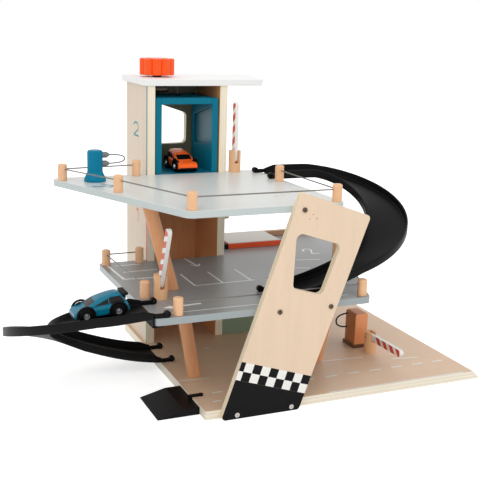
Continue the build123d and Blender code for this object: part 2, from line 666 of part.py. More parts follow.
with BuildPart() as barrier_ground_post:
    barrier_post(POST_GROUND, BASE_T, GROUND_PIVOT)
keep(barrier_ground_post.part, "barrier_ground_post")
with BuildPart() as barrier_ground_arm:
    barrier_arm(POST_GROUND, BASE_T, ARM_GROUND_TILT, GROUND_PIVOT)
keep(barrier_ground_arm.part, "barrier_ground_arm")
with BuildPart() as barrier_ground_pin:
    barrier_pin(POST_GROUND, BASE_T, GROUND_PIVOT)
keep(barrier_ground_pin.part, "barrier_ground_pin")

# ================================================================ curved ramps
RAMP_Y_LOW = RAMP_Y_UP - 2 * RAMP_TURN_R
RAMP_Y_MID = (RAMP_Y_UP + RAMP_Y_LOW) / 2
RAMP_Z_UP = TOP_Z + RAMP_LIFT
RAMP_Z_LOW = MID_Z + RAMP_T + SEAT
RUN_UP = RAMP_TURN_X - RAMP_X_UP
RUN_TURN = pi * RAMP_TURN_R
RUN_LOW = RAMP_TURN_X - RAMP_X_LOW
RUN_ALL = RUN_UP + RUN_TURN + RUN_LOW


def ramp_station(s, sag):
    """Middle of the channel floor, and its heading in degrees, after a run of s."""
    part_way = min(max((s - RAMP_FLAT) / (RUN_ALL - RAMP_FLAT - RAMP_FLAT_LOW), 0.0), 1.0)
    eased = part_way * part_way * (3 - 2 * part_way)
    z = RAMP_Z_UP + (RAMP_Z_LOW - RAMP_Z_UP) * (part_way + RAMP_EASE * (eased - part_way))
    z -= sag * sin(pi * min(s / SAG_RUN, 1.0))
    if s <= RUN_UP:
        return RAMP_X_UP + s, RAMP_Y_UP, z, 0.0
    if s >= RUN_UP + RUN_TURN:
        return RAMP_TURN_X - (s - RUN_UP - RUN_TURN), RAMP_Y_LOW, z, -pi
    turn = (s - RUN_UP) / RAMP_TURN_R
    return (RAMP_TURN_X + RAMP_TURN_R * sin(turn), RAMP_Y_MID + RAMP_TURN_R * cos(turn), z, -turn)


def ramp_plane(s, sag):
    """Upright section plane across the channel after a run of s."""
    x, y, z, heading = ramp_station(s, sag)
    return Plane(origin=(x, y, z), x_dir=(-sin(heading), cos(heading), 0),
                 z_dir=(cos(heading), sin(heading), 0))


stations = [0.0, END_RUN / 2]
stations += [END_RUN + (RUN_ALL - 2 * END_RUN) * i / RAMP_STEPS for i in range(RAMP_STEPS + 1)]
stations += [RUN_ALL - END_RUN / 2, RUN_ALL]
INNER = RAMP_HALF - RAMP_WALL_T


def ramp_arms(x, y_mid, floor_z):
    """Two arms that lie on a deck ahead of the channel's end, with knobs at their tips."""
    for y in (y_mid - RAMP_HALF, y_mid + RAMP_HALF - CLIP_T):
        with Locations((x + ARM_LAP, y, floor_z + SEAT)):
            Box(ARM_REACH, CLIP_T, RAMP_END_H, align=(Align.MAX, Align.MIN, Align.MIN))
        with Locations(Location((x + ARM_LAP - ARM_REACH, y + CLIP_T / 2,
                                 floor_z + SEAT + RAMP_KNOB_R), (90, 0, 0))):
            Cylinder(RAMP_KNOB_R, RAMP_KNOB_W)
            Cylinder(RAMP_KNOB_HOLE, 2 * RAMP_KNOB_W, mode=Mode.SUBTRACT)


def ramp_solid(sag):
    """The whole moulding: channel, arms, and the clip that grips the upper deck's edge."""
    sections = []
    for s in stations:
        edge = min(s, RUN_ALL - s)
        top = RAMP_END_H + (RAMP_WALL_H - RAMP_END_H) * min(edge / END_RUN, 1.0)
        with BuildSketch(ramp_plane(s, sag)) as section:
            Polygon((-RAMP_HALF, -RAMP_T), (RAMP_HALF, -RAMP_T), (RAMP_HALF, top), (INNER, top),
                    (INNER, 0), (-INNER, 0), (-INNER, top), (-RAMP_HALF, top), align=None)
        sections.append(section.sketch.face())
    loft(sections)
    ramp_arms(RAMP_X_UP, RAMP_Y_UP, TOP_Z)
    ramp_arms(RAMP_X_LOW, RAMP_Y_LOW, MID_Z)
    with Locations((RAMP_X_UP, RAMP_Y_UP, TOP_Z + RAMP_LIFT - RAMP_T / 2)):
        Box(CLIP_LIP_T, 2 * RAMP_HALF, PLY + CLIP_LIP_T + CLIP_GAP + RAMP_LIFT - RAMP_T / 2,
            align=(Align.MIN, Align.CENTER, Align.MAX))
    with Locations((RAMP_X_UP + CLIP_LIP_T, RAMP_Y_UP, TOP_Z - PLY - CLIP_GAP)):
        Box(CLIP_LIP + CLIP_LIP_T, 2 * RAMP_HALF, CLIP_LIP_T, align=(Align.MAX, Align.CENTER, Align.MAX))


with BuildPart() as ramp_right:
    ramp_solid(0.0)
keep(ramp_right.part, "ramp_right")

# The left ramp is the same moulding turned half round, one storey lower, and it sags a little.
LEFT_UP = MID_LEFT - CLIP_GAP
LEFT_Y_UP = RAMP_Y_LOW - LEFT_SHIFT
TURNED = Location((LEFT_UP + RAMP_X_UP, RAMP_Y_UP + LEFT_Y_UP, -PITCH), (0, 0, 180))
with BuildPart() as ramp_left:
    ramp_solid(LEFT_SAG)
keep(ramp_left.part.moved(TURNED), "ramp_left")

# ================================================================ drive-on wedge
with BuildPart() as wedge_ramp:
    with BuildSketch(Plane.XZ.offset(-WEDGE_Y0)):
        Polygon((-SEAT, 0), (-WEDGE_L, 0), (-WEDGE_L, WEDGE_TIP), (-WEDGE_FLAT, WEDGE_H),
                (-SEAT, WEDGE_H), align=None)
    extrude(amount=-WEDGE_W)
    with Locations((-TAB_W, TAB_Y, WEDGE_H - TAB_T)):
        Box(TAB_W, TAB_W, BASE_T + SEAT + TAB_T - WEDGE_H + TAB_T,
            align=(Align.MIN, Align.CENTER, Align.MIN))
    with BuildSketch(Plane.XY.offset(BASE_T + SEAT)):
        with Locations((-TAB_W, TAB_Y)):
            Rectangle(TAB_L + TAB_W / 2, TAB_W, align=(Align.MIN, Align.CENTER))
        with Locations((TAB_L - TAB_W / 2, TAB_Y)):
            Circle(TAB_HEAD_R)
    extrude(amount=TAB_T)
keep(wedge_ramp.part, "wedge_ramp")

# ================================================================ charging point
with BuildPart() as charger_body:
    with BuildSketch(Plane.XZ.offset(-CHARGE[1])):
        with BuildLine():
            Polyline((CHARGE[0], TOP_Z), (CHARGE[0] + CHARGE_FOOT_R, TOP_Z),
                     (CHARGE[0] + CHARGE_FOOT_R, TOP_Z + CHARGE_FOOT_H),
                     (CHARGE[0] + CHARGE_R, TOP_Z + CHARGE_NECK_H),
                     (CHARGE[0] + CHARGE_R, TOP_Z + CHARGE_H), (CHARGE[0], TOP_Z + CHARGE_H),
                     close=True)
        make_face()
    revolve(axis=Axis((CHARGE[0], CHARGE[1], 0), (0, 0, 1)))
    chamfer(charger_body.edges().group_by(Axis.Z)[-1], length=PEG_ROUND)
    for up in (PLUG_UP, PLUG_LOW):
        with Locations(Location((CHARGE[0] + CHARGE_R, CHARGE[1], TOP_Z + up), (0, 90, 0))):
            Cylinder(PLUG_R, 2 * PLUG_IN, mode=Mode.SUBTRACT)
keep(charger_body.part, "charger_body")

PLUG_X = CHARGE[0] + CHARGE_R - PLUG_IN
with BuildPart() as charger_plugs:
    for up in (PLUG_UP, PLUG_LOW):
        with Locations(Location((PLUG_X, CHARGE[1], TOP_Z + up), (0, 90, 0))):
            Cylinder(PLUG_R, PLUG_L, align=(Align.CENTER, Align.CENTER, Align.MIN))
        with Locations(Location((PLUG_X + PLUG_L, CHARGE[1], TOP_Z + up), (0, 90, 0))):
            Cone(PLUG_R, PLUG_TIP_R, PLUG_TAPER, align=(Align.CENTER, Align.CENTER, Align.MIN))
keep(charger_plugs.part, "charger_plugs")

CABLE_X = PLUG_X + PLUG_L + PLUG_TAPER
CABLE_BEND = BEND_SHARE * (PLUG_UP - PLUG_LOW)
with BuildPart() as charger_cable:
    with BuildLine() as cable_path:
        FilletPolyline((CABLE_X, CHARGE[1], TOP_Z + PLUG_UP),
                       (CABLE_X + CABLE_OUT, CHARGE[1], TOP_Z + PLUG_UP),
                       (CABLE_X + CABLE_OUT, CHARGE[1], TOP_Z + PLUG_LOW),
                       (CABLE_X, CHARGE[1], TOP_Z + PLUG_LOW), radius=CABLE_BEND)
    with BuildSketch(Plane(cable_path.line @ 0, z_dir=cable_path.line % 0)):
        Circle(CABLE_R)
    sweep()
keep(charger_cable.part, "charger_cable")
print("charger cable bends", round(CABLE_BEND, 2))

# ================================================================ fuel pump
with BuildPart() as pump_foot:
    with Locations((PUMP[0] + PUMP_W / 2, PUMP[1] + PUMP_D / 2, BASE_T)):
        Box(PUMP_W + 2 * PUMP_FOOT_OVER, PUMP_D + 2 * PUMP_FOOT_OVER, PUMP_FOOT_T,
            align=(Align.CENTER, Align.CENTER, Align.MIN))
    fillet(pump_foot.edges().filter_by(Axis.Z), radius=PUMP_FOOT_OVER)
keep(pump_foot.part, "pump_foot")

PUMP_Z0 = BASE_T + PUMP_FOOT_T
HOSE_Z1 = PUMP_Z0 + PUMP_H - HOSE_TOP + HOSE_IN
HOSE_Z0 = HOSE_Z1 - HOSE_SPAN
HOSE_Y = PUMP[1] + PUMP_D - HOSE_BACK
with BuildPart() as pump_body:
    with Locations((PUMP[0], PUMP[1], PUMP_Z0)):
        Box(PUMP_W, PUMP_D, PUMP_H, align=(Align.MIN, Align.MIN, Align.MIN))
    fillet(pump_body.edges().filter_by(Axis.Y).group_by(Axis.Z)[-1], radius=PUMP_R)
    fillet(pump_body.edges().filter_by(Axis.X).group_by(Axis.Z)[-1], radius=CORNER_R / 2)
    for z in (HOSE_Z0, HOSE_Z1):
        with Locations(Location((PUMP[0], HOSE_Y, z), (0, 90, 0))):
            Cylinder(HOSE_R, 2 * HOSE_IN, mode=Mode.SUBTRACT)
keep(pump_body.part, "pump_body")

HOSE_BEND = BEND_SHARE * HOSE_SPAN
with BuildPart() as pump_hose:
    with BuildLine() as hose_path:
        FilletPolyline((PUMP[0] + HOSE_IN, HOSE_Y, HOSE_Z1), (PUMP[0] - HOSE_OUT, HOSE_Y, HOSE_Z1),
                       (PUMP[0] - HOSE_OUT, HOSE_Y, HOSE_Z0), (PUMP[0] + HOSE_IN, HOSE_Y, HOSE_Z0),
                       radius=HOSE_BEND)
    with BuildSketch(Plane(hose_path.line @ 0, z_dir=hose_path.line % 0)):
        Circle(HOSE_R)
    sweep()
keep(pump_hose.part, "pump_hose")
print("pump hose bends", round(HOSE_BEND, 2))

# ================================================================ toy cars
# A car is made nose to -X at the origin, wheels on Z = 0, and then placed.
ARCH_R = WHEEL_R + ARCH_GAP
ARCH_DEEP = WHEEL_W + WHEEL_GAP
with BuildPart() as car_body:
    with BuildSketch(Plane.XZ.offset(-CAR_W / 2)):
        with BuildLine():
            Polyline(*CAR_PROFILE, close=True)
        make_face()
    extrude(amount=CAR_W)
    fillet(car_body.edges().filter_by(Axis.Y).filter_by_position(Axis.Z, 12.0, 40.0), radius=CAR_EDGE)
    for x in (WHEEL_FRONT, WHEEL_REAR):
        for side in (-1, 1):
            with Locations(Location((x, side * (CAR_W / 2 - ARCH_DEEP / 2), WHEEL_R), (90, 0, 0))):
                Cylinder(ARCH_R, ARCH_DEEP, mode=Mode.SUBTRACT)
        with Locations(Location((x, 0, WHEEL_R), (90, 0, 0))):
            Cylinder(AXLE_R + RUN_FIT, CAR_W, mode=Mode.SUBTRACT)


def wheelset(x):
    """Axle with its two wheels and hub caps at a place along the car."""
    with Locations(Location((x, 0, WHEEL_R), (90, 0, 0))):
        Cylinder(AXLE_R, CAR_W)
    for side in (-1, 1):
        with Locations(Location((x, side * (CAR_W / 2 - WHEEL_W / 2), WHEEL_R), (90, 0, 0))):
            Cylinder(WHEEL_R, WHEEL_W)
        with Locations(Location((x, side * CAR_W / 2, WHEEL_R), (90, 0, 0))):
            Cylinder(HUB_R, 2 * HUB_RISE)


with BuildPart() as car_front_wheels:
    wheelset(WHEEL_FRONT)
    chamfer(car_front_wheels.edges().filter_by(GeomType.CIRCLE).filter_by(
        lambda e: e.radius > WHEEL_R - SEAT), length=CAR_EDGE / 2)
with BuildPart() as car_rear_wheels:
    wheelset(WHEEL_REAR)
    chamfer(car_rear_wheels.edges().filter_by(GeomType.CIRCLE).filter_by(
        lambda e: e.radius > WHEEL_R - SEAT), length=CAR_EDGE / 2)

IN_LIFT = Location((SHAFT_MID + LIFT_CAR_SHIFT, LIFT_CAR_FRONT_Y, LIFT_Z0 + PLY + SEAT), (0, 0, 90))
ON_RAMP = Location((*RAMP_CAR_FRONT, MID_Z - RAMP_CAR_DROP), (0, -RAMP_CAR_TILT, 0))
for name, place in (("orange", IN_LIFT), ("blue", ON_RAMP)):
    keep(car_body.part.moved(place), f"car_{name}_body")
    keep(car_front_wheels.part.moved(place), f"car_{name}_front_wheels")
    keep(car_rear_wheels.part.moved(place), f"car_{name}_rear_wheels")
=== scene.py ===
"""Looks of a wooden toy parking garage with a wound lift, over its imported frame.

Sizes in the classes are millimetres from the base board's front left corner: X to the
right, Y to the back, Z up. `to_frame` turns them into metres about the base's middle.
"""
import json
import logging
import math
from dataclasses import dataclass
from enum import Enum
from functools import lru_cache

import bmesh
import bpy
import numpy as np
from mathutils import Matrix, Vector

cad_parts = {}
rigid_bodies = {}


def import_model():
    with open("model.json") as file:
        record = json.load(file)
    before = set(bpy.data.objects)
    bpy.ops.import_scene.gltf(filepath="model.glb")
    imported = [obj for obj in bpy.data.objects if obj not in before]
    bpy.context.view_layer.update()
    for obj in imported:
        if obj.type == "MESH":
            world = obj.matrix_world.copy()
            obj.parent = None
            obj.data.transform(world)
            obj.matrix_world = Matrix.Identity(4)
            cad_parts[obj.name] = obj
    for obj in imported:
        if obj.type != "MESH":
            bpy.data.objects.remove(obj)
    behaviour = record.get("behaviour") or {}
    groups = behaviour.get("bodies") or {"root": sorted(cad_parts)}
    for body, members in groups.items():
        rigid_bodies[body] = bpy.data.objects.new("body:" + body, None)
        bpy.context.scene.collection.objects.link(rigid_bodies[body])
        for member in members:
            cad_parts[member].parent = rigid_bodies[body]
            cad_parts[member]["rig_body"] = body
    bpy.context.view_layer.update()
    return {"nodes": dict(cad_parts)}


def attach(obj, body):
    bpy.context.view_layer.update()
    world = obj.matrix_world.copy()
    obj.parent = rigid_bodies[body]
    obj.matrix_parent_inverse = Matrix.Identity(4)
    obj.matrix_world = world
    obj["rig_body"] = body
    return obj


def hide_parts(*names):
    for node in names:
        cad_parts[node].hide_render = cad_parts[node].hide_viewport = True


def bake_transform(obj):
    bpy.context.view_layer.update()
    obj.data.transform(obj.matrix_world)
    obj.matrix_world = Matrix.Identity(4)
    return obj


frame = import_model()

LOG = logging.getLogger("garage")
CORNER = np.array([210.0, 181.5, 0.0])

# Millimetres: the base's thickness, the tops of the decks, the roof's underside, the
# boards' thickness and one storey.
BASE_T, MID_Z, TOP_Z, ROOF_Z, PLY, PITCH = 12.0, 140.5, 269.0, 396.0, 9.0, 128.5
# The tower's board thickness and the front of its back wall.
TOWER_PLY, BACK_Y = 12.0, 351.0
# The lift string's place and its two ends, and the undersides of the lift's floor and roof.
HANG_X, HANG_Y, EYE_Z, HOOK_Z = 66.0, 305.0, 389.0, 380.3
LIFT_FLOOR_Z, LIFT_ROOF_Z = 260.0, 369.5

Array = np.ndarray
Tone = tuple[float, float, float]
Point = tuple[float, float, float]


def to_frame(points: Array) -> Array:
    """Turns corner-frame millimetres into the frame's metres.

    Args:
        points: Any array whose last axis is X, Y, Z.
    Returns:
        (points - corner) / 1000.
    """
    return (np.asarray(points, float) - CORNER) / 1000.0


def linear(tone: Tone) -> tuple[float, float, float, float]:
    """Turns a screen colour of 0 to 255 into a linear colour with full cover."""
    part = np.asarray(tone, float) / 255.0
    out = np.where(part <= 0.04045, part / 12.92, ((part + 0.055) / 1.055) ** 2.4)
    return (float(out[0]), float(out[1]), float(out[2]), 1.0)


def darker(tone: Tone, share: float) -> Tone:
    """A tone with each of its parts multiplied by a share below 1."""
    return tuple(c * share for c in tone)


# ==================================================================== shader bench
class Wire:
    """A node's output that takes part in sums: each operator adds one Math node."""

    def __init__(self, bench: "Bench", socket: bpy.types.NodeSocket) -> None:
        """Holds the socket and the bench that it belongs to."""
        self.bench, self.socket = bench, socket

    def math(self, operation: str, *others: "Wire | float", clamp: bool = False) -> "Wire":
        """Adds one Math node with this wire as its first value."""
        values = dict(enumerate((self, *others)))
        return self.bench.node("Math", {"operation": operation, "use_clamp": clamp}, values)

    def __add__(self, other: "Wire | float") -> "Wire":
        """Sum."""
        return self.math("ADD", other)

    def __sub__(self, other: "Wire | float") -> "Wire":
        """Difference."""
        return self.math("SUBTRACT", other)

    def __rsub__(self, other: float) -> "Wire":
        """Difference from a number."""
        return self.bench.node("Math", {"operation": "SUBTRACT"}, {0: other, 1: self})

    def __mul__(self, other: "Wire | float") -> "Wire":
        """Product."""
        return self.math("MULTIPLY", other)

    def __abs__(self) -> "Wire":
        """Size without its sign."""
        return self.math("ABSOLUTE")

    def times_plus(self, factor: "Wire | float", extra: "Wire | float") -> "Wire":
        """This times a factor plus an extra."""
        return self.math("MULTIPLY_ADD", factor, extra)

    def below(self, edge: float, soft: float) -> "Wire":
        """1 where this is under the edge and 0 over it, with a soft step of that width."""
        return self.math("MULTIPLY_ADD", -1.0 / soft, edge / soft + 0.5, clamp=True)

    def above(self, edge: float, soft: float) -> "Wire":
        """1 where this is over the edge and 0 under it, with a soft step of that width."""
        return self.math("MULTIPLY_ADD", 1.0 / soft, 0.5 - edge / soft, clamp=True)


class Bench:
    """Builds one node material around a single Principled shader."""

    def __init__(self, name: str) -> None:
        """Makes an empty material with its shader and output."""
        self.material = bpy.data.materials.new(name)
        self.material.use_nodes = True
        self.tree = self.material.node_tree
        self.tree.nodes.clear()
        self.shader = self.tree.nodes.new("ShaderNodeBsdfPrincipled")
        self.output = self.tree.nodes.new("ShaderNodeOutputMaterial")
        self.tree.links.new(self.shader.outputs[0], self.output.inputs[0])

    @classmethod
    def over(cls, tree: bpy.types.NodeTree) -> "Bench":
        """A bench over the emptied tree of something that isn't a material."""
        bench = cls.__new__(cls)
        bench.tree = tree
        tree.nodes.clear()
        return bench

    def node(self, kind: str, settings: dict | None = None, inputs: dict | None = None,
             output: int | str = 0) -> Wire:
        """Adds a node.

        Args:
            kind: Node type without its ShaderNode prefix.
            settings: Properties, set before the inputs.
            inputs: Values or wires by socket name or number.
            output: The socket that is handed back.
        Returns:
            The chosen output as a wire.
        """
        made = self.tree.nodes.new("ShaderNode" + kind)
        for key, value in (settings or {}).items():
            setattr(made, key, value)
        for key, value in (inputs or {}).items():
            if isinstance(value, Wire):
                self.tree.links.new(value.socket, made.inputs[key])
            else:
                made.inputs[key].default_value = value
        return Wire(self, made.outputs[output] if len(made.outputs) else None)

    def split(self, vector: Wire) -> tuple[Wire, Wire, Wire]:
        """The three parts of a vector."""
        first = self.node("SeparateXYZ", None, {0: vector})
        outputs = first.socket.node.outputs
        return tuple(Wire(self, outputs[i]) for i in range(3))

    def join(self, x: Wire | float, y: Wire | float, z: Wire | float) -> Wire:
        """A vector from three parts."""
        return self.node("CombineXYZ", None, {0: x, 1: y, 2: z})

    def millimetres(self) -> tuple[Wire, Wire, Wire]:
        """The corner-frame place of a point, from Object coordinates."""
        parts = self.split(self.node("TexCoord", None, None, "Object"))
        return tuple(p.times_plus(1000.0, float(c)) for p, c in zip(parts, CORNER))

    def local(self) -> tuple[Wire, Wire, Wire]:
        """The maker's own coordinates of a piece, in millimetres, from its attribute."""
        return self.split(self.node("Attribute", {"attribute_name": "local"}, None, "Vector"))

    def normal(self) -> tuple[Wire, Wire, Wire]:
        """The three parts of the surface's direction, in the object's axes."""
        return self.split(self.node("TexCoord", None, None, "Normal"))

    def noise(self, place: Wire, scale: float, detail: float = 3.0, rough: float = 0.55) -> Wire:
        """Cloudy noise of 0 to 1 at a vector."""
        return self.node("TexNoise", {"noise_dimensions": "3D"},
                         {"Vector": place, "Scale": scale, "Detail": detail, "Roughness": rough})

    def mix(self, share: Wire | float, first: "Wire | Tone", second: "Wire | Tone") -> Wire:
        """A blend of two colours: all first at 0, all second at 1."""
        pair = [c if isinstance(c, Wire) else linear(c) for c in (first, second)]
        return self.node("Mix", {"data_type": "RGBA"}, {0: share, 6: pair[0], 7: pair[1]}, 2)

    def plain(self, tone: Tone) -> Wire:
        """One even colour."""
        return self.mix(0.0, tone, tone)

    def shade(self, colour: Wire, light: Wire) -> Wire:
        """A colour made lighter or darker by a number near 1."""
        return self.node("VectorMath", {"operation": "SCALE"}, {0: colour, "Scale": light})

    def finish(self, colour: Wire, roughness: "Wire | float", height: Wire | None = None,
               relief: float = 0.0002, **sockets: "Wire | float") -> bpy.types.Material:
        """Joins the colour, roughness and bump to the shader.

        Args:
            colour: Base colour.
            roughness: A wire or one number.
            height: Bump height of 0 to 1.
            relief: Metres between height 0 and 1.
            sockets: Other shader inputs, spaces in their names as underscores.
        Returns:
            The finished material.
        """
        wanted = {"Base Color": colour, "Roughness": roughness}
        wanted |= {key.replace("_", " "): value for key, value in sockets.items()}
        if height is not None:
            wanted["Normal"] = self.node("Bump", None, {"Height": height, "Distance": relief})
        for key, value in wanted.items():
            if isinstance(value, Wire):
                self.tree.links.new(value.socket, self.shader.inputs[key])
            else:
                self.shader.inputs[key].default_value = value
        return self.material


# ==================================================================== prints
INK_SOFT = 0.3


@dataclass(frozen=True)
class Stroke:
    """A straight printed line on a board's face, between two points of the face's plane."""

    u0: float
    v0: float
    u1: float
    v1: float
    width: float = 2.2

    def mask(self, u: Wire, v: Wire) -> Wire:
        """1 on the line: along and across distances from its middle, both limited."""
        run = math.hypot(self.u1 - self.u0, self.v1 - self.v0)
        c, s = (self.u1 - self.u0) / run, (self.v1 - self.v0) / run
        mid_u, mid_v = (self.u0 + self.u1) / 2, (self.v0 + self.v1) / 2
        along = u.times_plus(c, v.times_plus(s, -c * mid_u - s * mid_v))
        across = u.times_plus(-s, v.times_plus(c, s * mid_u - c * mid_v))
        return (abs(along).below(run / 2, INK_SOFT)
                * abs(across).below(self.width / 2, INK_SOFT))


@dataclass(frozen=True)
class Print:
    """Strokes of one ink on the face of a board."""

    tone: Tone
    strokes: tuple[Stroke, ...]

    def mask(self, u: Wire, v: Wire) -> Wire:
        """1 wherever a stroke lies."""
        total = self.strokes[0].mask(u, v)
        for stroke in self.strokes[1:]:
            total = total.math("MAXIMUM", stroke.mask(u, v))
        return total


def path_strokes(points: tuple[tuple[float, float], ...], width: float) -> tuple[Stroke, ...]:
    """Strokes that join a row of points."""
    return tuple(Stroke(*a, *b, width) for a, b in zip(points, points[1:]))


NUMERALS: dict[int, tuple[tuple[float, float], ...]] = {
    1: ((0.15, 0.75), (0.5, 1.0), (0.5, 0.0)),
    2: ((0.05, 0.8), (0.3, 1.0), (0.75, 1.0), (0.95, 0.75), (0.9, 0.5), (0.05, 0.0), (1.0, 0.0)),
}


def numeral(number: int, u: float, v: float, wide: float, high: float,
            width: float) -> tuple[Stroke, ...]:
    """A plain printed numeral on a face that is read against the direction of u.

    Args:
        number: Which one.
        u: Side of its cell at which it starts.
        v: Foot of its cell.
        wide: Cell width.
        high: Cell height.
        width: Line width.
    Returns:
        Its strokes.
    """
    points = tuple((u - a * wide, v + b * high) for a, b in NUMERALS[number])
    return path_strokes(points, width)


# ==================================================================== finishes
class Axis(Enum):
    """The direction in which a board is thin."""

    X = 0
    Y = 1
    Z = 2


CHIPPED: Tone = (205, 180, 145)
# Dark olive for the back wall's inside above the upper deck: painted shade, not a stain.
OLIVE_PAINTED_SHADE: Tone = (112, 112, 88)
BLACK_INK: Tone = (16, 15, 17)
WHITE_CHECK: Tone = (248, 246, 240)
CHECKS_AT, CHECKS_SLANT, CHECK_SIDE, CHECK_ROWS = (38.3, 78.1), -18.1, 12.12, 2.0
STRIPES: tuple[Tone, ...] = ((96, 138, 104), (214, 70, 54), (0, 112, 128))
STRIPE_END_Y = 263.4


@dataclass(frozen=True)
class BoardFinish:
    """Plywood, bare or painted: a face with grain or roller marks, edges that show layers.

    `start` and `thick` place the board along its thin axis, `layers` is how strongly the
    edges show their plies, `reverse` is the tone of the face that looks back along the
    axis, `extra` names a method that adds to the face, `shine` is the specular level, and
    `printed_side` is -1 where the prints are on the face that looks back.
    """

    name: str
    axis: Axis
    start: float
    thick: float
    face: Tone
    edge: Tone = (226, 204, 170)
    layers: float = 0.5
    reverse: Tone | None = None
    painted: bool = False
    grain: Axis = Axis.X
    roughness: float = 0.42
    plies: int = 7
    prints: tuple[Print, ...] = ()
    extra: str = ""
    shine: float = 0.5
    printed_side: float = 1.0

    def build(self) -> bpy.types.Material:
        """Makes the material: a face and an edge, parted by the surface's direction."""
        b = Bench(self.name)
        place = b.millimetres()
        normal = b.normal()[self.axis.value]
        along = [1.0, 1.0, 1.0]
        along[self.grain.value] = 0.06
        if self.axis != self.grain:
            along[self.axis.value] = 0.3
        stretched = b.join(*[p * a for p, a in zip(place, along)])
        plain = b.join(*place)
        cloud = b.noise(plain, 0.012, 3.0)
        fibre = b.noise(stretched, 0.35, 5.0, 0.65)
        streak = b.noise(stretched, 0.09, 3.0, 0.6)
        wood_light = fibre.times_plus(0.08, streak.times_plus(0.12, 0.9))
        paint_light = cloud.times_plus(0.07, 0.965)
        light = paint_light if self.painted else wood_light
        rim = abs(normal).below(0.6, 0.35)
        colour = b.mix(rim, self.broad_face(b, place, normal, light),
                       self.layered_edge(b, place, fibre, paint_light))
        if self.painted:
            chip = rim * (1 - rim) * 4.0 * b.noise(plain, 0.5, 3.0).above(0.62, 0.06)
            colour = b.mix(chip * 0.6, colour, CHIPPED)
            tooth = b.noise(plain, 0.55, 4.0, 0.6)
        else:
            pores = b.noise(stretched, 1.6, 2.0, 0.5).below(0.36, 0.08)
            if self.extra == "checks":
                pores = pores * place[2].above(CHECKS_AT[1], 12.0)
            colour = b.mix(pores * (1 - rim) * 0.09, colour, darker(self.face, 0.62))
            tooth = fibre
        gloss = cloud.times_plus(0.12, self.roughness - 0.06)
        return b.finish(colour, gloss, tooth, 0.00012, Specular_IOR_Level=self.shine)

    def broad_face(self, b: Bench, place: tuple[Wire, ...], normal: Wire, light: Wire) -> Wire:
        """Colour of the two broad faces.

        Args:
            b: The bench.
            place: Corner-frame millimetres.
            normal: The surface's direction along the thin axis.
            light: Grain or roller marks, as a number near 1.
        Returns:
            The tone or the reverse's tone, then the prints, then the extra.
        """
        face = b.plain(self.face)
        if self.reverse is not None:
            face = b.mix(normal.below(-0.5, 0.2), self.face, self.reverse)
        face = b.shade(face, light)
        u, v = [p for i, p in enumerate(place) if i != self.axis.value]
        front = (normal * self.printed_side).above(0.55, 0.2)
        for ink in self.prints:
            worn = b.noise(b.join(*place), 0.9, 2.0).above(0.16, 0.12)
            face = b.mix(ink.mask(u, v) * worn * front, face, ink.tone)
        if self.extra:
            face = getattr(self, self.extra)(b, place, face, normal)
        return face

    def layered_edge(self, b: Bench, place: tuple[Wire, ...], fibre: Wire,
                     paint_light: Wire) -> Wire:
        """Colour of the edges.

        The depth into the board is counted in plies, with a slight wave: every second
        one is darker, and a line of glue lies between two.

        Args:
            b: The bench.
            place: Corner-frame millimetres.
            fibre: Fibre noise of 0 to 1.
            paint_light: Roller marks, as a number near 1.
        Returns:
            The colour, with the layers as strong as the finish says.
        """
        depth = place[self.axis.value].times_plus(1.0 / self.thick, -self.start / self.thick)
        wavy = b.noise(b.join(*place), 0.02, 1.0).times_plus(0.02, depth)
        dark = (wavy * (self.plies / 2.0)).math("FRACT").above(0.5, 0.12)
        glue = abs((wavy * float(self.plies)).math("FRACT") - 0.5).above(0.44, 0.06)
        end = b.mix(dark, self.edge, darker(self.edge, 0.93))
        end = b.mix(glue * 0.35, end, darker(self.edge, 0.6))
        plain_edge = b.shade(b.plain(self.edge), paint_light)
        return b.mix(self.layers, plain_edge, b.shade(end, fibre.times_plus(0.2, 0.9)))

    def checks(self, b: Bench, place: tuple[Wire, ...], face: Wire, normal: Wire) -> Wire:
        """Two rows of black and white squares over a black foot, on the slanting panel.

        A point's distance along and under the slanting top line is counted in squares;
        a square is black where the two counts add up to an even number.
        """
        slant, (x, z) = math.radians(CHECKS_SLANT), CHECKS_AT
        c, s = math.cos(slant) / CHECK_SIDE, math.sin(slant) / CHECK_SIDE
        along = place[0].times_plus(c, place[2].times_plus(s, -x * c - z * s))
        under = place[0].times_plus(s, place[2].times_plus(-c, -x * s + z * c))
        count = along.math("FLOOR") + under.math("FLOOR")
        odd = abs((count * 0.5).math("FRACT") * 2.0)
        white = odd.above(0.5, 0.1) * under.below(CHECK_ROWS, 0.02)
        ink = b.mix(white, BLACK_INK, WHITE_CHECK)
        return b.mix(under.above(0.0, 0.02) * normal.below(-0.5, 0.2), face, ink)

    def storeys(self, b: Bench, place: tuple[Wire, ...], face: Wire, normal: Wire) -> Wire:
        """A thin stripe down the wall's front edge, another colour on each storey."""
        low = b.mix(place[2].above(MID_Z - 5.0, 0.5), STRIPES[0], STRIPES[1])
        ink = b.mix(place[2].above(TOP_Z - 5.0, 0.5), low, STRIPES[2])
        return b.mix(place[1].below(STRIPE_END_Y, 0.4), face, ink)

    def stain_and_painted_shade(self, b: Bench, place: tuple[Wire, ...], face: Wire, normal: Wire) -> Wire:
        """On the inside, a brown stain, and above the upper deck a dark olive that is painted shade."""
        # Below the upper deck this is the brown stain; above it, the dark olive is painted shade.
        stain = b.mix(place[2].above(TOP_Z - 6.0, 1.0), self.reverse, OLIVE_PAINTED_SHADE)
        light = b.noise(b.join(place[0], place[1], place[2] * 0.06), 0.3, 4.0)
        inside = b.shade(stain, light.times_plus(0.3, 0.85))
        return b.mix(normal.below(-0.5, 0.2), face, inside)


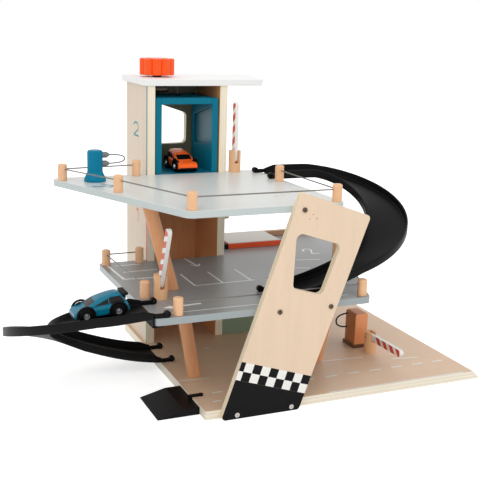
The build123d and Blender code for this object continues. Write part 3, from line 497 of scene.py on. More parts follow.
def upright_wood(b: Bench, x: Wire, y: Wire, z: Wire) -> tuple[Wire, Wire, Wire]:
    """Wood whose fibres run along Z.

    Args:
        b: The bench.
        x: Millimetres across from the wood's middle.
        y: The same, the other way.
        z: Millimetres along.
    Returns:
        Fibre of 0 to 1, darkening by the rings on its ends, and 1 on an end.
    """
    fibre = b.noise(b.join(x, y, z * 0.05), 0.8, 5.0, 0.6)
    radius = x.times_plus(x, y * y).math("SQRT") + b.noise(b.join(x, y, z), 0.2) * 2.0
    ring = (radius * 1.1).math("SINE").times_plus(0.5, 0.5)
    end = abs(b.normal()[2]).above(0.8, 0.1)
    return fibre, ring * end * 0.12, end


@dataclass(frozen=True)
class TurnedWood:
    """Wood turned on a lathe: fibres along its length, rings on its ends."""

    name: str
    tone: Tone
    roughness: float = 0.4

    def build(self) -> bpy.types.Material:
        """Makes the material from the piece's own coordinates, Z along its length."""
        b = Bench(self.name)
        x, y, z = b.local()
        fibre, rings, end = upright_wood(b, x, y, z)
        patch = b.noise(b.join(x, y, z * 0.3), 0.1, 2.0)
        light = fibre.times_plus(0.2, patch.times_plus(0.2, 0.8)) - rings
        colour = b.shade(b.plain(self.tone), light)
        pores = b.noise(b.join(x, y, z * 0.08), 2.6, 2.0).below(0.35, 0.08) * (1 - end)
        colour = b.mix(pores * 0.3, colour, darker(self.tone, 0.6))
        return b.finish(colour, fibre.times_plus(0.15, self.roughness), fibre, 0.00015)


UPPER_FROM = 60.0


@dataclass(frozen=True)
class PostWood:
    """Beech of an upright post, read from its place on the board."""

    name: str
    tone: Tone
    middle: Point

    def build(self) -> bpy.types.Material:
        """Makes the material with rings about the post's middle."""
        b = Bench(self.name)
        x, y, z = b.millimetres()
        fibre, rings, _ = upright_wood(b, x - self.middle[0], y - self.middle[1], z)
        colour = b.shade(b.plain(self.tone), fibre.times_plus(0.3, 0.85) - rings)
        return b.finish(colour, fibre.times_plus(0.15, 0.36), fibre, 0.00015)


@dataclass(frozen=True)
class Moulded:
    """Moulded plastic or enamel: an even colour, soft mottling and a fine surface texture."""

    name: str
    tone: Tone
    roughness: float = 0.35
    texture: float = 0.9
    relief: float = 0.00006
    speckle: float = 0.0
    metal: float = 0.0
    shine: float = 0.5
    upper: Tone | None = None

    def build(self) -> bpy.types.Material:
        """Makes the material; `upper` is its tone above the height UPPER_FROM."""
        b = Bench(self.name)
        x, y, z = b.millimetres()
        place = b.join(x, y, z)
        cloud = b.noise(place, 0.03, 3.0)
        fine = b.noise(place, self.texture, 3.0, 0.6)
        colour = b.mix(z.above(UPPER_FROM, 1.0), self.tone, self.upper or self.tone)
        colour = b.shade(colour, cloud.times_plus(0.1, 0.95))
        if self.speckle:
            spots = b.noise(place, 1.9, 1.0).above(0.66, 0.05)
            light = tuple(min(255.0, c * 1.6 + 45.0) for c in self.tone)
            colour = b.mix(spots * self.speckle, colour, light)
        gloss = fine.times_plus(0.16, self.roughness - 0.08)
        return b.finish(colour, gloss, fine, self.relief, Metallic=self.metal,
                        Specular_IOR_Level=self.shine)


@dataclass(frozen=True)
class Twine:
    """Twisted thread, or a sheathed lead, seen along its own length."""

    name: str
    tone: Tone
    pitch: float = 1.2
    roughness: float = 0.8

    def build(self) -> bpy.types.Material:
        """Makes the material: slanting bands from height and side distance."""
        b = Bench(self.name)
        x, y, z = b.millimetres()
        turns = (z + x * 0.8 + y * 0.8) * (6.283 / self.pitch)
        lay = turns.math("SINE").times_plus(0.5, 0.5)
        fuzz = b.noise(b.join(x, y, z), 2.5, 2.0)
        colour = b.shade(b.plain(self.tone), lay.times_plus(0.25, fuzz.times_plus(0.2, 0.75)))
        return b.finish(colour, self.roughness, lay, 0.0001)


@dataclass(frozen=True)
class CarPaint:
    """A toy car's shell: enamel with black glass where the car's own coordinates say so."""

    name: str
    tone: Tone
    black: Tone = (14, 15, 17)
    seam: Tone = (20, 22, 24)

    def glass(self, x: Wire, y: Wire, z: Wire) -> Wire:
        """1 on the windscreen, the rear window and the side windows but their pillar.

        A side window ends under the roof's slope and ahead of the slanting rear post.
        """
        glass_top = x.times_plus(0.36, 10.2)
        screen = (z.above(18.2, 0.3) * x.above(16.0, 0.3) * x.below(26.5, 0.3)
                  * y.below(10.8, 0.3))
        back = z.above(20.2, 0.3) * x.above(60.5, 0.3) * y.below(10.6, 0.3)
        side = (y.above(10.6, 0.3) * z.above(18.6, 0.3) * z.below(26.4, 0.3)
                * (z - glass_top).below(-0.4, 0.3) * (z + x * 1.6).below(119.0, 0.3))
        pillar = abs(x - 43.0).above(0.5, 0.3)
        return screen.math("MAXIMUM", back).math("MAXIMUM", side * pillar)

    def build(self) -> bpy.types.Material:
        """Makes the material; X runs from nose to tail, Y across, Z up from the floor."""
        b = Bench(self.name)
        x, y, z = b.local()
        y = abs(y)
        flank = y.above(13.0, 0.4)
        doors = abs(x - 28.0).below(0.25, 0.15) + abs(x - 46.5).below(0.25, 0.15)
        gap = doors * flank * z.below(20.0, 0.3)
        line = abs(z - 12.0).below(0.22, 0.15) * flank
        sill = z.below(6.6, 0.5)
        place = b.join(x, y, z)
        cloud = b.noise(place, 0.08, 2.0)
        colour = b.shade(b.plain(self.tone), cloud.times_plus(0.08, 0.96))
        dark = self.glass(x, y, z).math("MAXIMUM", sill)
        colour = b.mix(dark, colour, self.black)
        colour = b.mix(gap.math("MAXIMUM", line * 0.5) * 0.8, colour, self.seam)
        gloss = (1 - dark).times_plus(0.14, 0.12)
        grit = b.noise(place, 1.4, 2.0)
        return b.finish(colour, gloss, grit - gap * 2.0, 0.00004, Coat_Weight=0.12,
                        Specular_IOR_Level=0.2)


@lru_cache(maxsize=None)
def material(finish: object) -> bpy.types.Material:
    """Builds a finish once and hands the same material out after that."""
    return finish.build()


BEECH = TurnedWood("beech", (240, 190, 146))
DOWEL = TurnedWood("dowel", (230, 164, 116))
BLACK = Moulded("black_plastic", (12, 11, 12), 0.42, 1.1, 0.00007, speckle=0.1, shine=0.12)
DARK = Moulded("dark_plastic", (14, 14, 15), 0.5, shine=0.12)
ORANGE = Moulded("orange_plastic", (249, 86, 12), 0.24, 0.5, 0.00003, shine=0.3)
RUBBER = Moulded("grey_rubber", (120, 124, 126), 0.6)
TYRE = Moulded("tyre", (10, 10, 11), 0.62, 1.6, 0.0002, shine=0.1)
STEEL = Moulded("wire_steel", (128, 124, 118), 0.38, 1.5, metal=0.6)
SCREW = Moulded("screw_steel", (190, 186, 180), 0.26, 1.5, metal=0.9, upper=(92, 80, 66))
CHROME = Moulded("silver", (206, 208, 210), 0.22, metal=0.85)
PANE = Moulded("pane", (38, 112, 130), 0.3, shine=0.15)
TEAL_WOOD = Moulded("teal_enamel", (0, 122, 156), 0.36, 0.6, shine=0.14)
CORD = Twine("grey_cord", (128, 130, 132), 2.4, 0.6)
HOSE = Twine("dark_hose", (40, 38, 38), 3.0, 0.5)
STRING = Twine("string", (176, 158, 140))


# ==================================================================== shapes
QUARTER = 4  # points on a rounded edge's quarter turn


def grid(x: Array | float, y: Array | float, z: Array | float) -> Array:
    """Points whose coordinates are spread to one shape."""
    return np.stack(np.broadcast_arrays(x, y, z), -1)


def round_turn(count: int) -> Array:
    """Angles of a whole turn, evenly spaced from 0."""
    return np.linspace(0, 2 * np.pi, count, endpoint=False)


@dataclass
class Patch:
    """A surface whose rows are rings of points, in millimetres."""

    points: Array
    local: Array | None = None
    loop: bool = False
    slot: int = 0

    def faces(self, first: int) -> list[list[int]]:
        """Quads between neighbouring rows, and a many-sided face at each open end.

        Args:
            first: Number of this patch's first point in the whole piece.
        Returns:
            Lists of point numbers.
        """
        rows, columns = self.points.shape[:2]
        number = first + np.arange(rows * columns).reshape(rows, columns)
        if self.loop:
            number = np.vstack([number, number[:1]])
        number = np.hstack([number, number[:, :1]])
        quads = np.stack([number[:-1, :-1], number[:-1, 1:], number[1:, 1:], number[1:, :-1]], -1)
        found = quads.reshape(-1, 4).tolist()
        if not self.loop:
            for row in (0, -1):
                if np.ptp(self.points[row], axis=0).max() > 1e-4:
                    found.append(number[row, :-1].tolist())
        return found


def rest_of(name: str) -> str:
    """The body that a CAD node moves with."""
    return frame["nodes"][name]["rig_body"]


def add_piece(name: str, patches: list[Patch], finishes: list[object], body: str,
              nodes: tuple[str, ...] = (), sharp: float = 32.0) -> bpy.types.Object:
    """Puts patches into one mesh object and fits it into the frame.

    Args:
        name: Piece name.
        patches: Its surfaces.
        finishes: One for each slot number that the patches use.
        body: CAD body that it rides on.
        nodes: CAD nodes that it stands for.
        sharp: Angle in degrees above which an edge stays crisp.
    Returns:
        The object.
    """
    points = np.concatenate([p.points.reshape(-1, 3) for p in patches])
    local = np.concatenate([(p.points if p.local is None else p.local).reshape(-1, 3)
                            for p in patches])
    faces, slots, first = [], [], 0
    for patch in patches:
        made = patch.faces(first)
        faces += made
        slots += [patch.slot] * len(made)
        first += patch.points.shape[0] * patch.points.shape[1]
    mesh = bpy.data.meshes.new(name)
    mesh.from_pydata(to_frame(points).tolist(), [], faces)
    mesh.polygons.foreach_set("material_index", slots)
    mesh.attributes.new("local", "FLOAT_VECTOR", "POINT").data.foreach_set(
        "vector", local.astype(np.float32).ravel())
    tidy_mesh(mesh, 2e-6, sharp)
    return settle(bpy.data.objects.new(name, mesh), finishes, body, nodes)


def tidy_mesh(mesh: bpy.types.Mesh, gap: float, sharp: float, flat: float = 0.0) -> None:
    """Joins coincident points, turns faces outward and marks crisp edges.

    Args:
        mesh: The mesh, changed in place.
        gap: Distance in metres under which points become one.
        sharp: Crisp edge angle in degrees.
        flat: Angle in degrees under which flat neighbours become one face; 0 leaves them.
    """
    work = bmesh.new()
    work.from_mesh(mesh)
    bmesh.ops.remove_doubles(work, verts=work.verts, dist=gap)
    if flat:
        bmesh.ops.dissolve_limit(work, angle_limit=math.radians(flat), verts=work.verts,
                                 edges=work.edges)
    bmesh.ops.recalc_face_normals(work, faces=work.faces)
    work.to_mesh(mesh)
    work.free()
    mesh.shade_smooth()
    mesh.set_sharp_from_angle(angle=math.radians(sharp))


def settle(piece: bpy.types.Object, finishes: list[object], body: str,
           nodes: tuple[str, ...]) -> bpy.types.Object:
    """Links a piece, gives it its materials and fits it to its body and CAD nodes."""
    bpy.context.scene.collection.objects.link(piece)
    for finish in finishes:
        piece.data.materials.append(material(finish))
    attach(piece, body)
    if nodes:
        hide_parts(*nodes)
    return piece


def board(node: str, finish: object, edge: float = 0.7,
          steps: int = 3) -> bpy.types.Object:
    """A flat piece cut from its CAD node's outline, with softened edges.

    Args:
        node: CAD node.
        finish: Its finish.
        edge: Rounding of its edges in millimetres.
        steps: Faces across the rounding.
    Returns:
        The piece that stands for the node.
    """
    mesh = frame["nodes"][node].data.copy()
    mesh.materials.clear()
    tidy_mesh(mesh, 1e-6, 35.0, flat=0.2)
    piece = settle(bpy.data.objects.new(f"{node}_piece", mesh), [finish], rest_of(node),
                   (node,))
    soften = piece.modifiers.new("edges", "BEVEL")
    soften.width, soften.segments = edge / 1000.0, steps
    soften.limit_method, soften.angle_limit = "ANGLE", math.radians(38.0)
    soften.harden_normals = True
    return piece


def dress_node(node: str, finish: object) -> None:
    """Gives a CAD node that keeps its shape a better material."""
    mesh = frame["nodes"][node].data
    if not mesh.materials:
        mesh.materials.append(material(finish))
    for i in range(len(mesh.materials)):
        mesh.materials[i] = material(finish)


def turned(profile: list[tuple[float, float]], foot: Point, axis: Point = (0, 0, 1),
           columns: int = 48, slot: int = 0, loop: bool = False) -> Patch:
    """A turned surface.

    At turn a and profile point (r, h) a point is foot + h * axis + r * (cos a * side
    + sin a * other), where side and other are square to the axis.

    Args:
        profile: Radius and height pairs, in order.
        foot: Where height 0 lies.
        axis: Direction of the lathe's axis.
        columns: Points round the axis.
        slot: Material number.
        loop: Whether the profile closes on itself.
    Returns:
        The patch, with its own coordinates along Z.
    """
    line = np.asarray(profile, float)
    way = np.asarray(axis, float) / np.linalg.norm(axis)
    side = np.cross(way, (0.0, 1.0, 0.0) if abs(way[1]) < 0.9 else (1.0, 0.0, 0.0))
    side /= np.linalg.norm(side)
    other = np.cross(way, side)
    a = round_turn(columns)
    r, h = line[:, :1], line[:, 1:]
    x, y = r * np.cos(a), r * np.sin(a)
    points = (np.asarray(foot, float) + h[..., None] * way + x[..., None] * side
              + y[..., None] * other)
    return Patch(points, grid(x, y, h), loop=loop, slot=slot)


def round_profile(points: list[tuple[float, float]], radius: float,
                  steps: int = 4) -> list[tuple[float, float]]:
    """Rounds the inner corners of an open profile.

    Each corner becomes a quadratic curve between two points at most a radius away on its
    runs: (1-t)^2 a + 2t(1-t) corner + t^2 b.

    Args:
        points: The profile.
        radius: Largest distance from a corner at which its curve starts.
        steps: Points on each curve.
    Returns:
        The rounded profile.
    """
    out = [points[0]]
    t = np.linspace(0, 1, steps)[:, None]
    for before, corner, after in zip(points, points[1:], points[2:]):
        p, q, r = (np.asarray(k, float) for k in (before, corner, after))
        a = q + (p - q) * min(0.45, radius / max(np.linalg.norm(p - q), 1e-9))
        b = q + (r - q) * min(0.45, radius / max(np.linalg.norm(r - q), 1e-9))
        out += [tuple(k) for k in (1 - t) ** 2 * a + 2 * t * (1 - t) * q + t ** 2 * b]
    return out + [points[-1]]


def carried(profile: Array, middle: Array, side: Array, up: Array) -> Patch:
    """A closed profile carried along a path.

    A point is middle(s) + profile_u * side(s) + profile_v * up(s).

    Args:
        profile: (columns, 2), or (rows, columns, 2) where it changes on the way.
        middle: (rows, 3) points of the path.
        side: (rows, 3) directions of the profile's first number.
        up: (rows, 3) directions of its second number.
    Returns:
        The patch.
    """
    shape = np.broadcast_to(profile, (len(middle), *np.shape(profile)[-2:]))
    return Patch(middle[:, None] + shape[..., :1] * side[:, None] + shape[..., 1:] * up[:, None])


def block(low: Point, high: Point, edge: float) -> Patch:
    """A box whose edges and corners are all rounded.

    Rows climb from the underside's middle to the top's; each is a rounded rectangle that
    is pulled in by edge * (1 - cos a) where its height is edge * (1 - sin a) from an end.

    Args:
        low: Lowest corner.
        high: Highest corner.
        edge: Radius of every edge.
    Returns:
        The patch.
    """
    low, high = np.asarray(low, float), np.asarray(high, float)
    a = np.linspace(0, np.pi / 2, QUARTER)
    pull = np.concatenate([edge * (1 - np.sin(a)), edge * (1 - np.cos(a))])
    rise = np.concatenate([low[2] + edge * (1 - np.cos(a)), high[2] - edge * (1 - np.sin(a))])
    corner = np.concatenate([a + k * np.pi / 2 for k in range(4)])
    half = (high - low)[:2] / 2 - edge
    sign_x = np.repeat([1, -1, -1, 1], QUARTER)
    sign_y = np.repeat([1, 1, -1, -1], QUARTER)
    r = (edge - pull)[:, None]
    x = (low[0] + high[0]) / 2 + sign_x * half[0] + r * np.cos(corner)
    y = (low[1] + high[1]) / 2 + sign_y * half[1] + r * np.sin(corner)
    return Patch(grid(x, y, rise[:, None]))


def tube_path(points: Array, bend: float) -> Array:
    """A line through points whose corners are eased.

    Args:
        points: (n, 3) corners.
        bend: Distance from a corner at which its curve starts.
    Returns:
        (m, 3) points: straight runs, and a quadratic curve at each corner.
    """
    out = [points[0]]
    t = np.linspace(0, 1, 7)[:, None]
    for p, q, r in zip(points, points[1:], points[2:]):
        a = q + (p - q) * bend / np.linalg.norm(p - q)
        b = q + (r - q) * bend / np.linalg.norm(r - q)
        out += list((1 - t) ** 2 * a + 2 * t * (1 - t) * q + t ** 2 * b)
    out.append(points[-1])
    return np.array(out)


def tube(line: Array, radius: float, columns: int = 10) -> Patch:
    """A round bar along a line: each ring is square to the line's direction there."""
    way = np.gradient(line, axis=0)
    way /= np.linalg.norm(way, axis=1, keepdims=True)
    up = np.array([0.0, 0.0, 1.0]) if abs(way[0, 2]) < 0.9 else np.array([0.0, 1.0, 0.0])
    side = np.cross(way, up)
    side /= np.linalg.norm(side, axis=1, keepdims=True)
    a = round_turn(columns)
    ring = radius * np.stack([np.cos(a), np.sin(a)], -1)
    return carried(ring, line, side, np.cross(side, way))


def side_loop(start: Point, reach: float, drop: float) -> list[Point]:
    """Route of a cord that goes out sideways and comes back lower down.

    Args:
        start: Where it leaves the object.
        reach: How far it goes to the right.
        drop: How much lower it comes back.
    Returns:
        Its four corners.
    """
    x, y, z = start
    return [start, (x + reach, y, z), (x + reach, y, z - drop), (x, y, z - drop)]


def nurbs_cord(name: str, points: list[Point], radius: float, finish: object, node: str) -> bpy.types.Object:
    """A cord as a curve of one open spline whose control points are its route.

    Args:
        name: Piece name.
        points: Route in corner-frame millimetres.
        radius: Half its diameter.
        finish: Its finish.
        node: CAD node that it stands for.
    Returns:
        The curve object.
    """
    curve = bpy.data.curves.new(name, "CURVE")
    curve.dimensions = "3D"
    curve.bevel_depth, curve.bevel_resolution, curve.resolution_u = radius / 1000.0, 5, 16
    curve.use_fill_caps = True
    spline = curve.splines.new("NURBS")
    spline.points.add(len(points) - 1)
    places = to_frame(np.array(points))
    spline.points.foreach_set("co", np.c_[places, np.ones(len(points))].ravel())
    spline.order_u = 3
    spline.use_endpoint_u = True
    piece = settle(bpy.data.objects.new(name, curve), [finish], rest_of(node), (node,))
    length = spline_length(curve)
    LOG.info("%s is %.1f mm long", name, 1000 * length)
    return piece


def spline_length(curve: bpy.types.Curve) -> float:
    """Measured length of a curve's own line in metres."""
    bare = curve.copy()
    bare.bevel_depth = 0.0
    holder = bpy.data.objects.new("measure", bare)
    mesh = bpy.data.meshes.new_from_object(holder)
    line = np.empty(len(mesh.vertices) * 3)
    mesh.vertices.foreach_get("co", line)
    bpy.data.objects.remove(holder)
    bpy.data.meshes.remove(mesh)
    return float(np.linalg.norm(np.diff(line.reshape(-1, 3), axis=0), axis=1).sum())


# ==================================================================== studio
PURE_WHITE = (1.0, 1.0, 1.0, 1.0)
FLOOR_TONE: Tone = (235, 235, 235)
FLOOR_SPAN, FLOOR_GLOW = (-6.0, 6.0), 0.62


@dataclass
class Studio:
    """Camera, lamps, world and floor."""

    position: Point = (-0.591708, -1.14952, 0.484021)
    yaw: float = 23.56
    pitch: float = 13.5134
    roll: float = -1.5943
    lens: float = 67.322
    world: float = 0.86
    key: float = 12.5
    fill: float = 3.5

    def camera(self) -> None:
        """Aims the camera: its right and up directions are turned by the roll."""
        a, p, r = (math.radians(k) for k in (self.yaw, self.pitch, self.roll))
        ahead = np.array([math.sin(a) * math.cos(p), math.cos(a) * math.cos(p), -math.sin(p)])
        right = np.array([math.cos(a), -math.sin(a), 0.0])
        down = np.cross(ahead, right)
        turned_right = math.cos(r) * right + math.sin(r) * down
        turned_down = -math.sin(r) * right + math.cos(r) * down
        data = bpy.data.cameras.new("camera")
        data.sensor_width, data.lens, data.sensor_fit = 36.0, self.lens, "HORIZONTAL"
        camera = bpy.data.objects.new("camera", data)
        axes = np.column_stack([turned_right, -turned_down, -ahead])
        camera.matrix_world = Matrix.Translation(self.position) @ Matrix(axes.tolist()).to_4x4()
        bpy.context.scene.collection.objects.link(camera)
        bpy.context.scene.camera = camera

    def lamp(self, name: str, place: Point, size: float, power: float) -> None:
        """Adds a square soft lamp aimed at the middle of the toy."""
        data = bpy.data.lights.new(name, "AREA")
        data.energy, data.size = power, size
        lamp = bpy.data.objects.new(name, data)
        aim = Vector((0.0, 0.0, 0.2)) - Vector(place)
        turn = aim.to_track_quat("-Z", "Y").to_matrix().to_4x4()
        lamp.matrix_world = Matrix.Translation(place) @ turn
        bpy.context.scene.collection.objects.link(lamp)

    def seen(self, bench: Bench) -> Wire:
        """1 for rays that see the background directly, in a gloss or through a pane."""
        path = bench.node("LightPath").socket.node.outputs
        rays = [Wire(bench, path[k]) for k in ("Is Camera Ray", "Is Glossy Ray",
                                               "Is Transmission Ray")]
        return rays[0].math("MAXIMUM", rays[1]).math("MAXIMUM", rays[2])

    def backdrop(self) -> None:
        """Sets the world white for those rays and a plain soft light for all others."""
        world = bpy.data.worlds.new("studio")
        bpy.context.scene.world = world
        world.use_nodes = True
        bench = Bench.over(world.node_tree)
        plain, white = (bench.node("Background", None, {0: PURE_WHITE, 1: power})
                        for power in (self.world, 1.0))
        both = bench.node("MixShader", None, {0: self.seen(bench), 1: plain, 2: white})
        bench.node("OutputWorld", None, {0: both})

    def floor(self) -> None:
        """A wide pale floor that keeps the toy's shadow and is white to the camera."""
        mesh = bpy.data.meshes.new("floor")
        x, y = np.meshgrid(FLOOR_SPAN, FLOOR_SPAN)
        mesh.from_pydata(grid(x, y, 0.0).reshape(-1, 3).tolist(), [], [[0, 1, 3, 2]])
        floor = bpy.data.objects.new("floor", mesh)
        bpy.context.scene.collection.objects.link(floor)
        bench = Bench("floor_white")
        bench.finish(bench.plain(FLOOR_TONE), 0.8)
        dull = Wire(bench, bench.shader.outputs[0])
        glow = bench.node("Emission", None, {0: PURE_WHITE, 1: FLOOR_GLOW})
        lit = bench.node("AddShader", None, {0: dull, 1: glow})
        both = bench.node("MixShader", None, {0: self.seen(bench), 1: dull, 2: lit})
        bench.tree.links.new(both.socket, bench.output.inputs[0])
        mesh.materials.append(bench.material)

    def build(self) -> None:
        """Sets the whole studio."""
        self.camera()
        self.backdrop()
        self.floor()
        self.lamp("key", (-1.3, -1.5, 1.9), 1.6, self.key)
        self.lamp("fill", (1.7, -1.2, 1.3), 1.8, self.fill)
        bpy.context.scene.view_settings.view_transform = "Standard"


# ==================================================================== sub-assemblies
WHITE_INK: Tone = (236, 238, 236)


@dataclass
class BaseBoard:
    """The plywood base with its road lines, and the drive-on wedge at its left."""

    face: Tone = (224, 192, 162)
    lines: tuple[Stroke, ...] = (
        Stroke(177, 2.2, 393, 2.2, 2.6),
        *(Stroke(x - 9, 52, x + 9, 52, 2.6) for x in (136, 171, 207, 243, 278, 314, 349, 384)),
        Stroke(219, 106.9, 288.6, 100.9, 2.4), Stroke(325.4, 80.7, 365, 74.5, 2.4),
        Stroke(0.7, 105.7, 45.4, 101.1), Stroke(79, 211, 88, 212, 3.0),
        Stroke(30, 53, 44, 52.8, 3.0), Stroke(20, 26.4, 32, 26.2, 3.0),
    )

    def build(self) -> None:
        """Makes the base and the wedge."""
        board("base_board", BoardFinish("base_ply", Axis.Z, 0.0, BASE_T, self.face,
                                        (248, 238, 218), 0.6, plies=5,
                                        prints=(Print(WHITE_INK, self.lines),)),
              0.6)
        board("wedge_ramp", BLACK, 0.8)


@dataclass
class Tower:
    """The lift tower's three walls, its roof, and the boards fixed to it."""

    birch: Tone = (222, 203, 180)
    rim: Tone = (250, 238, 214)
    stain: Tone = (222, 158, 106)
    curb: Tone = (186, 146, 112)
    bracket: Tone = (222, 196, 160)
    top_mark: Tone = (0, 134, 144)
    mid_mark: Tone = (226, 92, 78)

    def build(self) -> None:
        """Makes the walls, the roof, the curb, the bracket and the green panel."""
        marks = (Print(self.top_mark, numeral(2, 327, 320, 26, 19, 3.0)),
                 Print(self.mid_mark, numeral(1, 316, 190, 26, 22, 3.0)))
        board("tower_left_wall",
              BoardFinish("tower_left_ply", Axis.X, 4.5, TOWER_PLY, self.birch, self.rim, 0.45,
                          reverse=self.birch, grain=Axis.Z, prints=marks, extra="storeys",
                          printed_side=-1.0))
        board("tower_right_wall",
              BoardFinish("tower_right_ply", Axis.X, 115.5, TOWER_PLY, self.birch, self.rim, 0.45,
                          reverse=self.stain, grain=Axis.Z))
        board("tower_back_wall",
              BoardFinish("tower_back_ply", Axis.Y, BACK_Y, TOWER_PLY, self.birch,
                          (240, 226, 200), 0.5, reverse=self.stain, grain=Axis.Z,
                          extra="stain_and_painted_shade"))
        board("roof_board",
              BoardFinish("roof_paint", Axis.Z, ROOF_Z, PLY, (250, 250, 249), (242, 242, 240),
                          0.04, painted=True), 0.9)
        board("rear_curb",
              BoardFinish("curb_wood", Axis.Y, 354.0, PLY, self.curb, self.curb, 0.1))
        board("deck_bracket",
              BoardFinish("bracket_wood", Axis.X, 127.5, 7.0, self.bracket, self.bracket, 0.4,
                          grain=Axis.Z, plies=5))
        board("support_panel",
              BoardFinish("green_board", Axis.Y, 259.0, PLY, (136, 156, 132), (146, 162, 138),
                          0.15, painted=True))


def bay_lines() -> tuple[Stroke, ...]:
    """White lines of the middle deck's parking bays, arrows and front border."""
    return (
        *(Stroke(x, 118, x, 178, 2.6) for x in (28, 69, 111)),
        Stroke(26.8, 118, 116, 120, 2.6),
        *path_strokes(((-57, 254), (-54, 177), (-10.6, 173)), 3.6),
        Stroke(-45.5, 211, 4.8, 212, 2.8), Stroke(-47.1, 247.2, -8.3, 246.6, 2.8),
        Stroke(7.8, 42.7, -33, 39.6, 4.5),
        *(Stroke(-43.5 + k, 39 - 0.55 * k, -43.5 + k, 39 + 0.55 * k, 2.4)
          for k in (1.4, 3.2, 5.0, 6.8, 8.6, 10.4)),
        *path_strokes(((256, 242), (259, 254), (266, 257), (272, 251), (262, 226), (276, 226)),
                      2.6),
        Stroke(220.7, 199.8, 257.2, 191.4, 2.2), Stroke(198.6, 159.1, 219.8, 152.4, 2.2),
        Stroke(62.4, 258.4, 66.4, 209.5, 3.4), Stroke(66.4, 209.5, 58.5, 221, 3.2),
        Stroke(66.4, 209.5, 73.5, 222, 3.2),
        Stroke(-40, 17, 205, 17, 2.0),
    )


@dataclass
class Decks:
    """The two decks, the raised platform and the leaning pillars."""

    top: Tone = (219, 221, 217)
    mid: Tone = (146, 147, 147)
    orange: Tone = (252, 92, 40)
    mat: Tone = (206, 202, 194)
    dowel_r: float = 9.0

    def pillar(self, name: str, foot: Point, top: float, lean: float) -> None:
        """A dowel that leans sideways and is cut level.

        Ring h sits at foot + lean * h across, and is an ellipse that is wider by
        sqrt(1 + lean^2) in the direction of the lean.

        Args:
            name: CAD node that it stands for.
            foot: Middle of its foot.
            top: Height of its top.
            lean: Across for each unit up.
        """
        high, full, eased = top - foot[2], self.dowel_r, self.dowel_r - 0.5
        rise = np.array([0.0, 0.6, high - 0.6, high])[:, None]
        r = np.array([eased, full, full, eased])[:, None]
        a = round_turn(56)
        wide = math.hypot(1.0, lean)
        x, y = r * wide * np.cos(a), r * np.sin(a)
        points = grid(foot[0] + lean * rise + x, foot[1] + y, foot[2] + rise)
        add_piece(f"{name}_dowel", [Patch(points, grid(x, y, rise))], [DOWEL], "garage",
                  (name,))

    def build(self) -> None:
        """Makes the decks and what stands on and under them."""
        top_marks = (Print((0, 122, 138), (Stroke(-94, 187, -62, 187, 5.0),
                                           Stroke(-78, 204, -62, 187, 4.0),
                                           Stroke(-74, 176, -62, 187, 4.0))),
                     Print((170, 172, 170), (Stroke(113, 60.3, 118, 60.3, 3.0),)))
        board("deck_top", BoardFinish("upper_deck_paint", Axis.Z, TOP_Z - PLY, PLY, self.top,
                                      (196, 206, 204), 0.15, painted=True, roughness=0.3,
                                      prints=top_marks), 0.9)
        board("deck_mid", BoardFinish("middle_deck_paint", Axis.Z, MID_Z - PLY, PLY, self.mid,
                                      (158, 167, 168), 0.15, painted=True, roughness=0.3,
                                      prints=(Print(WHITE_INK, bay_lines()),)),
              0.9)
        board("platform_board", BoardFinish("platform_orange", Axis.Z, MID_Z, 8.0, self.orange,
                                            self.orange, 0.1, painted=True),
              0.8)
        board("platform_mat", BoardFinish("platform_top", Axis.Z, MID_Z + 8.0, 1.0, self.mat,
                                          self.mat, 0.0, painted=True),
              0.3)
        board("platform_buffer", DARK, 0.9)
        self.pillar("pillar_upper_left", (-6.3, 114.0, MID_Z), TOP_Z - PLY, -0.28)
        self.pillar("pillar_lower_left", (28.0, 117.0, BASE_T), MID_Z - PLY, -0.18)
        self.pillar("pillar_lower_right", (216.0, 115.0, BASE_T), MID_Z - PLY, 0.22)


@dataclass
class FrontPanel:
    """The slanting panel with its window, printed squares and five screws."""

    face: Tone = (238, 213, 186)

    def build(self) -> None:
        """Makes the panel and its screws."""
        board("front_panel", BoardFinish("panel_ply", Axis.Y, -9.0, PLY, self.face,
                                         (240, 222, 192), 0.6, grain=Axis.Z, plies=5,
                                         extra="checks", shine=0.1), 0.8)
        board("front_screws", SCREW, 0.2, 2)


